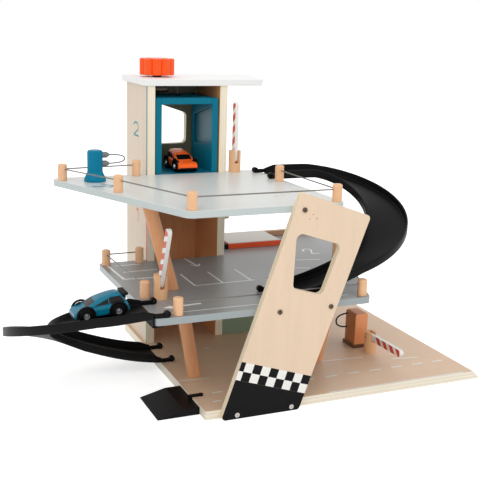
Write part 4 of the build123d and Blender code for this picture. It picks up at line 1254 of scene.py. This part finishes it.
@dataclass
class Winder:
    """The lobed knob, its spindle with the drum, and the string to the screw eye."""

    x: float = 40.0
    y: float = 325.0
    foot: float = 407.8
    high: float = 24.0
    lobes: int = 10
    reach: float = 26.5
    lobe: float = 7.5
    valley: float = 22.0
    shoulder: float = 2.2
    drum_exit: Point = (54.87, 331.29, 391.0)
    thread_r: float = 0.6

    def knob(self) -> None:
        """A lobed knob.

        Its radius at turn a is the far side of the nearest lobe's circle, or the valley
        circle where that is further out. Rows run up the side, over a rounded shoulder
        and into a shallow dish with a raised cap in the middle.
        """
        a = round_turn(240)
        step = 2 * np.pi / self.lobes
        off = (a + step / 2) % step - step / 2
        ring = self.reach - self.lobe
        inside = np.maximum(self.lobe ** 2 - (ring * np.sin(off)) ** 2, 0.0)
        outer = np.maximum(np.where(inside > 0, ring * np.cos(off) + np.sqrt(inside), 0.0),
                           self.valley)
        # Each row: how far the outline is pulled in, its share, and its height.
        rows = [(0.0, 0.0, 0.0), (0.0, 0.96, 0.0), (0.0, 1.0, 0.9)]
        rows += [(0.0, 1.0, h) for h in np.linspace(3, self.high - 3.0, 5)]
        t = np.linspace(0, np.pi / 2, 7)[1:]
        rows += [(self.shoulder * (1 - math.cos(k)), 1.0,
                  self.high - self.shoulder * (1 - math.sin(k))) for k in t]
        dish = [(18.0, -0.1), (16.5, -0.9), (12.5, -1.1), (11.6, -1.0), (11.0, -0.2),
                (9.5, 0.0), (0.0, 0.0)]
        radius = [np.maximum(outer * share - pull, 0.0) for pull, share, _ in rows]
        height = [h for _, _, h in rows]
        for r, drop in dish:
            radius.append(np.full_like(a, r))
            height.append(self.high + drop)
        r, h = np.array(radius), np.array(height)[:, None]
        points = grid(self.x + r * np.cos(a), self.y + r * np.sin(a), self.foot + h)
        add_piece("winding_knob_lobed", [Patch(points)], [ORANGE], "winder",
                  ("winding_knob",), 40.0)

    def build(self) -> None:
        """Makes the knob, spindle, drum, string and eye."""
        self.knob()
        top = self.foot + 15.8
        spindle = turned(round_profile([(0, 383), (18, 383), (18, 384.5), (15.5, 384.5),
                                        (15.5, 393.5), (18, 393.5), (18, 395), (6.5, 395),
                                        (6.5, top), (0, top)], 0.4, 3), (self.x, self.y, 0))
        coils = [turned([(15.5 + 0.55 * math.cos(k), 386.0 + 1.1 * i + 0.55 * math.sin(k))
                         for k in round_turn(8)],
                        (self.x, self.y, 0), loop=True, slot=1) for i in range(4)]
        add_piece("winding_spindle_drum", [spindle, *coils], [DARK, STRING], "winder",
                  ("winding_spindle",))
        dress_node("string_eyelet", STEEL)
        self.string()

    def string(self) -> None:
        """The lead from the drum to the eye, and the hanging string with a slight wave."""
        eye, hook = (HANG_X, HANG_Y, EYE_Z), (HANG_X, HANG_Y, HOOK_Z)
        corner = (HANG_X, HANG_Y, self.drum_exit[2])
        lead = tube_path(np.array([self.drum_exit, corner, eye]), 1.5)
        add_piece("string_lead_thread", [tube(lead, self.thread_r)], [STRING], "garage",
                  ("string_lead",))
        t = np.linspace(0, 1, 40)
        sway = 0.35 * np.sin(t * 9.0) * np.sin(t * np.pi)
        hang = grid(HANG_X + sway, HANG_Y + 0.5 * sway, EYE_Z - t * (EYE_Z - HOOK_Z))
        patch = tube(hang, self.thread_r)
        patch.points[..., 2] = np.clip(patch.points[..., 2], HOOK_Z, EYE_Z)
        points = to_frame(patch.points.reshape(-1, 3))
        mesh = bpy.data.meshes.new("lift_string_thread")
        mesh.from_pydata(points.tolist(), [], patch.faces(0))
        tidy_mesh(mesh, 1e-6, 60.0)
        piece = bpy.data.objects.new("lift_string_thread", mesh)
        bpy.context.scene.collection.objects.link(piece)
        mesh.materials.append(material(STRING))
        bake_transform(piece)
        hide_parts("lift_string")


@dataclass
class LiftCar:
    """The lift car's walls, floor, roof, panes and string hitch."""

    paint: Tone = (0, 118, 144)

    def build(self) -> None:
        """Makes each board of the car."""
        for node, axis, start in (("lift_left_wall", Axis.X, 18.0),
                                  ("lift_right_wall", Axis.X, 105.0),
                                  ("lift_floor", Axis.Z, LIFT_FLOOR_Z),
                                  ("lift_roof", Axis.Z, LIFT_ROOF_Z)):
            board(node, BoardFinish(f"{node}_paint", axis, start, PLY, self.paint,
                                    darker(self.paint, 0.98), 0.08, painted=True,
                                    roughness=0.4, shine=0.14), 0.8)
        board("lift_panes", PANE, 0.2, 2)
        button = round_profile([(0, 0), (2.2, 0), (2.2, 1.2), (1.4, 1.8), (0, 1.8)], 0.4)
        add_piece("lift_hitch_button",
                  [turned(button, (HANG_X, HANG_Y, LIFT_ROOF_Z + PLY), columns=24)],
                  [DARK], "lift", ("lift_hitch",))


@dataclass
class Rails:
    """Turned pegs and the steel wires through them."""

    radius: float = 6.25
    high: float = 22.5
    bore: float = 15.5
    top: tuple[tuple[float, float], ...] = ((-12, 259), (-120.5, 247), (-71, 142), (-18.5, 9),
                                            (177, 9.5), (171, 166))
    mid_left: tuple[tuple[float, float], ...] = ((-7.5, 258), (-57.5, 257), (-52, 88))
    mid_right: tuple[tuple[float, float], ...] = ((-35, 8), (222, 9), (289.5, 200))

    def pegs(self, node: str, places: tuple[tuple[float, float], ...], floor: float) -> None:
        """Stands turned pegs on a deck; the wire passes through them at the bore."""
        r, h = self.radius, self.high
        profile = round_profile([(0, 0), (r - 0.2, 0), (r, 0.4), (r, h - 1.4), (r - 1.4, h),
                                 (0, h)], 0.9, 5)
        patches = []
        for i, (x, y) in enumerate(places):
            patch = turned(profile, (x, y, floor))
            patch.local = patch.local + np.array([11.0 * i, 7.0 * i, 0.0])
            patches.append(patch)
        add_piece(f"{node}_turned", patches, [BEECH], "garage", (node,))

    def wire(self, node: str, places: tuple[tuple[float, float], ...], floor: float) -> None:
        """Runs the wire through the pegs, eased at each."""
        line = np.array([(x, y, floor + self.bore) for x, y in places])
        add_piece(f"{node}_rod", [tube(tube_path(line, 2.5), 0.9, 12)], [STEEL], "garage",
                  (node,))

    def build(self) -> None:
        """Makes all pegs and wires."""
        self.pegs("rail_posts_top", self.top, TOP_Z)
        self.pegs("rail_posts_mid", self.mid_left + self.mid_right, MID_Z)
        self.wire("rail_wire_top", self.top, TOP_Z)
        self.wire("rail_wire_mid_left", self.mid_left, MID_Z)
        self.wire("rail_wire_mid_right", self.mid_right, MID_Z)


@dataclass(frozen=True)
class ArmFinish:
    """White barrier arm with slanting orange bars on its left face."""

    name: str
    pivot: Point
    tilt: float
    tone: Tone = (240, 239, 234)
    bars: Tone = (216, 72, 44)
    pitch: float = 17.5

    def build(self) -> bpy.types.Material:
        """Makes the material: distance along the arm, plus its width, is cut into bars."""
        b = Bench(self.name)
        x, y, z = b.millimetres()
        t = math.radians(self.tilt)
        back, up = y - self.pivot[1], z - self.pivot[2]
        along = back * -math.sin(t) + up * math.cos(t)
        across = back * math.cos(t) + up * math.sin(t)
        count = ((along + across * 0.75) * (1 / self.pitch)).math("FRACT")
        bar = abs(count - 0.5).below(0.29, 0.02) * along.above(14.0, 0.3) * along.below(82, 0.3)
        face = b.normal()[0].below(-0.6, 0.2)
        place = b.join(x, y, z)
        cloud = b.noise(place, 0.06, 3.0)
        tooth = b.noise(place, 0.7, 3.0)
        colour = b.mix(bar * face, self.tone, self.bars)
        colour = b.shade(colour, cloud.times_plus(0.08, 0.95))
        return b.finish(colour, tooth.times_plus(0.15, 0.35), tooth, 0.0001)


@dataclass
class Barrier:
    """One barrier: a slotted post, its arm and the pin."""

    storey: str
    pivot: Point
    tilt: float

    def build(self) -> None:
        """Makes the three pieces."""
        wood = PostWood(f"post_{self.storey}_beech", (236, 184, 138), self.pivot)
        board(f"barrier_{self.storey}_post", wood, 0.6)
        board(f"barrier_{self.storey}_arm",
              ArmFinish(f"arm_{self.storey}_paint", self.pivot, self.tilt), 0.8)
        board(f"barrier_{self.storey}_pin", STEEL, 0.2, 2)


@dataclass
class CurvedRamp:
    """A moulded half-turn channel with clip arms; both ramps come from the same mould."""

    node: str
    body: str
    sag: float = 0.0
    half: float = 29.0
    wall: float = 2.6
    thick: float = 2.0
    turn_r: float = 87.5
    y_up: float = 214.0
    turn_x: float = 225.5
    x_up: float = 182.8
    x_low: float = 116.0
    level: float = 62.0
    landing: float = 3.0
    ease: float = 0.67
    sag_run: float = 320.0
    fade: float = 14.0
    twin: tuple[float, float] = (116.5, 245.0)
    lip_z: tuple[float, float, float] = (257.3, 259.7, 269.4)

    def stations(self) -> tuple[Array, Array, Array, float]:
        """Points of the channel floor's middle line.

        The run is straight, then a half circle, then straight. Its height falls from the
        upper deck to the middle deck by a share f + ease * (e - f), where e smooths the
        share f of the sloping run that is done, less the droop sag * sin(pi s / sag_run).

        Returns:
            Points, side directions, distances along, and the whole run.
        """
        up, turn, low = (self.turn_x - self.x_up, math.pi * self.turn_r,
                         self.turn_x - self.x_low)
        run = up + turn + low
        ends = np.linspace(0, self.fade, 8)
        s = np.unique(np.concatenate([np.linspace(0, run, 170), ends, run - ends]))
        f = np.clip((s - self.level) / (run - (self.level + self.landing)), 0, 1)
        e = f * f * (3 - 2 * f)
        top, foot = TOP_Z + 1.0, MID_Z + self.thick + 0.05
        z = top + (foot - top) * (f + self.ease * (e - f))
        z = z - self.sag * np.sin(np.pi * np.minimum(s / self.sag_run, 1.0))
        a = np.clip((s - up) / self.turn_r, 0, math.pi)
        x = (np.minimum(self.x_up + s, self.turn_x) + self.turn_r * np.sin(a)
             - np.maximum(s - up - turn, 0))
        y = self.y_up - self.turn_r + self.turn_r * np.cos(a)
        return grid(x, y, z), grid(np.sin(a), np.cos(a), 0.0), s, run

    def profile(self, top: Array) -> Array:
        """The channel's section for each wall height, as (rows, columns, 2).

        Columns go round it: outside corner, rounded wall top, hollow inner corner, floor,
        and the same mirrored. Wall tops are half circles of half the wall's thickness.
        """
        h, w, t = self.half, self.wall, self.thick
        arc = np.linspace(0, np.pi, 7)
        corner = np.linspace(0, np.pi / 2, 4)
        outer, inner = 1.2, 1.6
        u = np.concatenate([h - outer + outer * np.sin(corner),
                            h - w / 2 + w / 2 * np.cos(arc),
                            h - w - inner * (1 - np.cos(corner))])
        v = np.concatenate([-t + outer - outer * np.cos(corner),
                            w / 2 * np.sin(arc) - w / 2,
                            inner * (1 - np.sin(corner))])
        rides = np.repeat([0, 1, 0], [len(corner), len(arc), len(corner)])
        u, v, rides = (np.concatenate([k, sign * k[::-1]])
                       for k, sign in ((u, -1), (v, 1), (rides, 1)))
        return np.stack([u + 0 * top[:, None], v + rides * top[:, None]], -1)

    def place(self, patch: Patch) -> Patch:
        """Turns a patch half round and one storey down for the left ramp.

        The half turn takes X and Y to the `twin` sums less X and Y.
        """
        if self.node == "ramp_left":
            x, y, z = np.moveaxis(patch.points, -1, 0)
            patch.points = grid(self.twin[0] - x, self.twin[1] - y, z - PITCH)
        return patch

    def arms(self, x: float, y: float, floor: float) -> list[Patch]:
        """Two flat arms with eyed knobs that lie on a deck ahead of the channel."""
        out = []
        knob = round_profile([(1.4, 0.0), (1.4, 3.0), (4.2, 3.0), (4.2, -3.0), (1.4, -3.0),
                              (1.4, -0.01)], 0.5, 4)
        for edge in (y - self.half, y + self.half - 3.2):
            out.append(block((x - 16.0, edge, floor + 0.05), (x + 2.0, edge + 3.2, floor + 5.55),
                             0.8))
            out.append(turned(knob, (x - 16.0, edge + 1.6, floor + 4.25), (0, 1, 0), 28,
                              loop=True))
        return out

    def build(self) -> None:
        """Makes the whole moulding."""
        middle, side, s, run = self.stations()
        edge = np.minimum(s, run - s)
        top = 5.5 + 4.5 * np.minimum(edge / self.fade, 1.0)
        up = np.broadcast_to(np.array([0.0, 0.0, 1.0]), middle.shape)
        patches = [carried(self.profile(top), middle, side, up)]
        patches += self.arms(self.x_up, self.y_up, TOP_Z)
        patches += self.arms(self.x_low, self.y_up - 2 * self.turn_r, MID_Z)
        y0, y1 = self.y_up - self.half, self.y_up + self.half
        under, hooked, upright = self.lip_z
        for ahead, high in ((0.0, upright), (12.0, hooked)):
            patches.append(block((self.x_up - ahead, y0, under), (self.x_up + 2.4, y1, high),
                                 0.5))
        add_piece(f"{self.node}_moulding", [self.place(p) for p in patches], [BLACK],
                  self.body, (self.node,), 40.0)


@dataclass
class Charger:
    """The turned charging post, its two plugs and the cable between them."""

    x: float = -79.5
    y: float = 229.0
    plug_from: float = 9.5
    plug_long: float = 10.5
    plug_up: tuple[float, float] = (36.0, 24.0)
    cable_out: float = 22.0

    def build(self) -> None:
        """Makes the post, plugs and cable."""
        profile = round_profile([(0, 0), (15, 0), (15, 1.2), (14.6, 5.0), (12.6, 8.6),
                                 (10.5, 13.5), (10.5, 40.4), (9.6, 42.4), (7.2, 43), (0, 43)],
                                1.4, 4)
        add_piece("charger_post", [turned(profile, (self.x, self.y, TOP_Z))], [TEAL_WOOD],
                  "garage", ("charger_body",))
        plug = round_profile([(0, 0), (4.2, 0), (4.2, 3.4), (3.6, 3.7), (4.2, 4.0), (4.2, 6.3),
                              (2.4, 9.4), (1.6, self.plug_long), (0, self.plug_long)], 0.4, 3)
        root, (high, low) = self.x + self.plug_from, self.plug_up
        plugs = [turned(plug, (root, self.y, TOP_Z + up), (1, 0, 0), 24) for up in (high, low)]
        add_piece("charger_plugs_rubber", plugs, [RUBBER], "garage",
                  ("charger_plugs",))
        start = (root + self.plug_long, self.y, TOP_Z + high)
        nurbs_cord("charger_lead", side_loop(start, self.cable_out, high - low), 0.9, CORD,
                   "charger_cable")


@dataclass
class Pump:
    """The fuel pump block on its foot, with a hose loop."""

    walnut: Tone = (238, 160, 108)

    def build(self) -> None:
        """Makes the block, the foot and the hose."""
        wood = BoardFinish("pump_wood", Axis.Y, 139.5, 30.0, self.walnut, (192, 118, 66), 0.0,
                           grain=Axis.Z)
        foot = BoardFinish("pump_foot_wood", Axis.Z, BASE_T, 5.0, (120, 82, 56), (104, 70, 48),
                           0.0)
        board("pump_body", wood, 0.8)
        board("pump_foot", foot, 0.8)
        nurbs_cord("pump_hose_loop", side_loop((297.5, 164.5, 59.5), -22.0, 21.5), 1.2, HOSE,
                   "pump_hose")


@dataclass
class ToyCar:
    """A small pull-along car: a lofted shell, wheels with spoked hubs, and trim."""

    colour: str
    nose: Point
    turn: float
    tilt: float
    paint: Tone
    wing: bool
    long: float = 68.0
    wheel_r: float = 8.8
    arch_r: float = 10.3
    arch_in: float = 9.6
    hub_cut: float = 0.85
    axles: tuple[float, float] = (14.5, 53.5)
    hood: tuple[tuple[float, float], ...] = ((0, 9.5), (1.0, 12.2), (4, 14.6), (14, 16.8),
                                             (30, 18.4), (48, 19.2), (60, 19.8), (65.3, 19.0),
                                             (67.2, 15.0), (68, 10.5))
    roof: tuple[tuple[float, float], ...] = ((12, 16.0), (14, 17.0), (27, 24.4), (33, 26.4),
                                             (44, 28.8), (53, 29.7), (57.5, 29.2), (61, 26.4),
                                             (66.2, 16.8))

    def out(self, local: Array) -> Array:
        """Carries car coordinates to the corner frame: tilt about Y, then turn about Z."""
        t, a = math.radians(self.tilt), math.radians(self.turn)
        x, y, z = np.moveaxis(local, -1, 0)
        x, z = x * math.cos(t) - z * math.sin(t), x * math.sin(t) + z * math.cos(t)
        x, y = x * math.cos(a) - y * math.sin(a), x * math.sin(a) + y * math.cos(a)
        return grid(x, y, z) + np.asarray(self.nose, float)

    def patch(self, local: Array, slot: int = 0) -> Patch:
        """A patch from car coordinates."""
        return Patch(self.out(local), local, slot=slot)

    def ovals(self, wide: Array, low: Array, top: Array, powers: tuple[float, float],
              columns: int) -> tuple[Array, Array]:
        """Squared ovals, one to a row.

        y = wide * cos^p a and z = (top + low) / 2 + (top - low) / 2 * sin^q a, signs kept.

        Args:
            wide: Half width of each row.
            low: Foot of each row.
            top: Top of each row.
            powers: p and q.
            columns: Points on an oval.
        Returns:
            Y and Z, each as (rows, columns).
        """
        a = round_turn(columns)
        c, s = (np.sign(k) * np.abs(k) ** power
                for k, power in zip((np.cos(a), np.sin(a)), powers))
        return wide[:, None] * c, ((top + low) / 2)[:, None] + ((top - low) / 2)[:, None] * s

    def shell(self) -> Patch:
        """The lower shell.

        Each row is a squared oval. Where it is over a wheel and outside the wheel's inner
        side, its height is at least the arch's circle.
        """
        wheel = [c + self.arch_r * np.cos(np.linspace(0, np.pi, 25)) for c in self.axles]
        runs = [np.linspace(*k) for k in ((0, 3, 6), (3, self.long - 3, 24),
                                          (self.long - 3, self.long, 6))]
        x = np.unique(np.round(np.concatenate([*runs, *wheel]), 3))
        x = x[(x >= 0) & (x <= self.long)]
        top = np.interp(x, *np.array(self.hood).T)
        end = np.minimum(x, self.long - x)
        low = 4.6 + 4.0 * np.clip(1 - end / 1.6, 0, 1) ** 2
        wide = 16.3 - 2.6 * np.clip(1 - end / 9.0, 0, 1) ** 2.2
        y, z = self.ovals(wide, low, top, (0.36, 0.42), 72)
        for centre in self.axles:
            inside = np.maximum(self.arch_r ** 2 - (x - centre) ** 2, 0.0)
            arch = np.where(inside > 0, self.wheel_r + np.sqrt(inside), 0.0)[:, None]
            raised = np.maximum(z, np.minimum(arch, top[:, None] - 0.4))
            z = np.where(np.abs(y) > self.arch_in, raised, z)
        return self.patch(grid(x[:, None], y, z))

    def cabin(self) -> Patch:
        """The glass house: each row narrows from the belt to the roof, with soft corners."""
        x = np.linspace(12.2, 66.0, 50)
        top = np.interp(x, *np.array(self.roof).T)
        for _ in range(2):
            top[1:-1] = (top[:-2] + 2 * top[1:-1] + top[2:]) / 4
        low = np.full_like(x, 14.5)
        belt = 14.4 - 1.8 * np.clip((24 - x) / 10, 0, 1) ** 2 - 1.8 * np.clip((x - 54) / 10, 0, 1)
        y, z = self.ovals(belt, low, top, (0.42, 0.5), 48)
        y = y * (1 - 0.022 * np.clip(z - 19.0, 0, 12))
        return self.patch(grid(x[:, None], y, z))

    def arches(self) -> list[Patch]:
        """Black lips round the wheel openings: a small round bar bent to half a circle."""
        out = []
        a = np.linspace(-0.25, np.pi + 0.25, 26)
        ring = round_turn(8)
        for centre in self.axles:
            for side in (-1.0, 1.0):
                r = 10.6 + 1.5 * np.cos(ring)
                x = centre + np.cos(a)[:, None] * r
                z = self.wheel_r + np.sin(a)[:, None] * r
                y = side * (15.7 + 1.2 * np.sin(ring))
                out.append(self.patch(grid(x, y, z), 1))
        return out

    def trim(self) -> list[Patch]:
        """The bumpers, and the wing of the car that has one."""
        boxes = [((x, -13.2, 5.4), (x + 1.6, 13.2, 8.0), 0.7) for x in (0.0, self.long - 1.6)]
        if self.wing:
            boxes.append(((60.5, -13.0, 25.4), (self.long, 13.0, 28.6), 1.5))
            boxes += [((61.0, y - 0.9, 20.4), (65.0, y + 0.9, 26.2), 0.4) for y in (-9.0, 9.0)]
        return [self.patch(block(*box).points, 1) for box in boxes]

    def wheels(self, centre: float) -> list[Patch]:
        """Two tyres with a grooved tread, spoked hubs, and the axle.

        A hub is a disc whose face stands back by hub_cut between its five spokes, which
        are where cos 5a is low.
        """
        out = []
        a = round_turn(60)
        for side in (-1.0, 1.0):
            tread = [(0.0, 10.0), (5.0, 10.0), (7.6, 10.2), (8.5, 10.8), (8.8, 11.6),
                     (8.8, 12.6), (8.45, 12.75), (8.45, 13.05), (8.8, 13.2), (8.8, 14.2),
                     (8.45, 14.35), (8.45, 14.65), (8.8, 14.8), (8.75, 15.7), (8.3, 16.5),
                     (7.3, 17.0), (5.6, 17.0), (5.2, 16.6), (4.7, 16.2), (0.0, 16.2)]
            p = np.array(tread)
            out.append(self.patch(self.spin(p[:, :1], side * p[:, 1:], a, centre), 1))
            r = np.array([0.0, 0.8, 0.9, 1.3, 2.4, 3.0, 3.2, 3.6, 3.7, 3.7])[:, None]
            face = np.array([17.7, 17.7, 17.3, 17.1, 17.1, 17.2, 17.5, 17.5, 17.3, 16.0])[:, None]
            dip = np.array([0, 0, 0, 1, 1, 1, 0, 0, 0, 0])[:, None]
            spoke = np.clip(0.5 - 1.6 * np.cos(5 * a), 0, 1)
            cut = side * (face - self.hub_cut * dip * spoke)
            out.append(self.patch(self.spin(r, cut, a, centre)))
        p = np.array([(0.0, -11.0), (1.5, -11.0), (1.5, 11.0), (0.0, 11.0)])
        out.append(self.patch(self.spin(p[:, :1], p[:, 1:], a, centre), 2))
        return out

    def spin(self, r: Array, y: Array, a: Array, centre: float) -> Array:
        """Car coordinates of points at radius r and turn a about an axle."""
        return grid(centre + r * np.cos(a), y, self.wheel_r + r * np.sin(a))

    def build(self) -> None:
        """Makes the body and the two wheel sets."""
        finishes = [CarPaint(f"{self.colour}_car_paint", self.paint), DARK]
        add_piece(f"car_{self.colour}_shell",
                  [self.shell(), self.cabin(), *self.arches(), *self.trim()], finishes,
                  f"{self.colour}_car",
                  (f"car_{self.colour}_body",), 50.0)
        for name, centre in zip(("front", "rear"), self.axles):
            add_piece(f"car_{self.colour}_{name}_wheelset", self.wheels(centre),
                      [CHROME, TYRE, STEEL], f"{self.colour}_{name}_axle",
                      (f"car_{self.colour}_{name}_wheels",), 35.0)


def main() -> None:
    """Builds the studio and every sub-assembly in order."""
    logging.basicConfig(level=logging.INFO, format="%(name)s: %(message)s")
    steps = [
        Studio(), Charger(), Pump(), Winder(), BaseBoard(), Tower(), LiftCar(), Decks(),
        FrontPanel(), Rails(),
        Barrier("top", (140.5, 258.0, 288.5), 0.0),
        Barrier("mid", (-34.0, 78.0, 160.0), 22.0),
        Barrier("ground", (309.0, 118.0, 36.3), 89.0),
        CurvedRamp("ramp_right", "right_ramp"), CurvedRamp("ramp_left", "left_ramp", 7.0),
        ToyCar("orange", (68.0, 260.0, 269.05), 90.0, 0.0, (255, 102, 28), False),
        ToyCar("blue", (-157.0, 39.5, 135.15), 0.0, 4.3, (0, 112, 138), True),
    ]
    for step in steps:
        step.build()
        LOG.info("%s made", type(step).__name__)


if __name__ == "__main__":
    main()
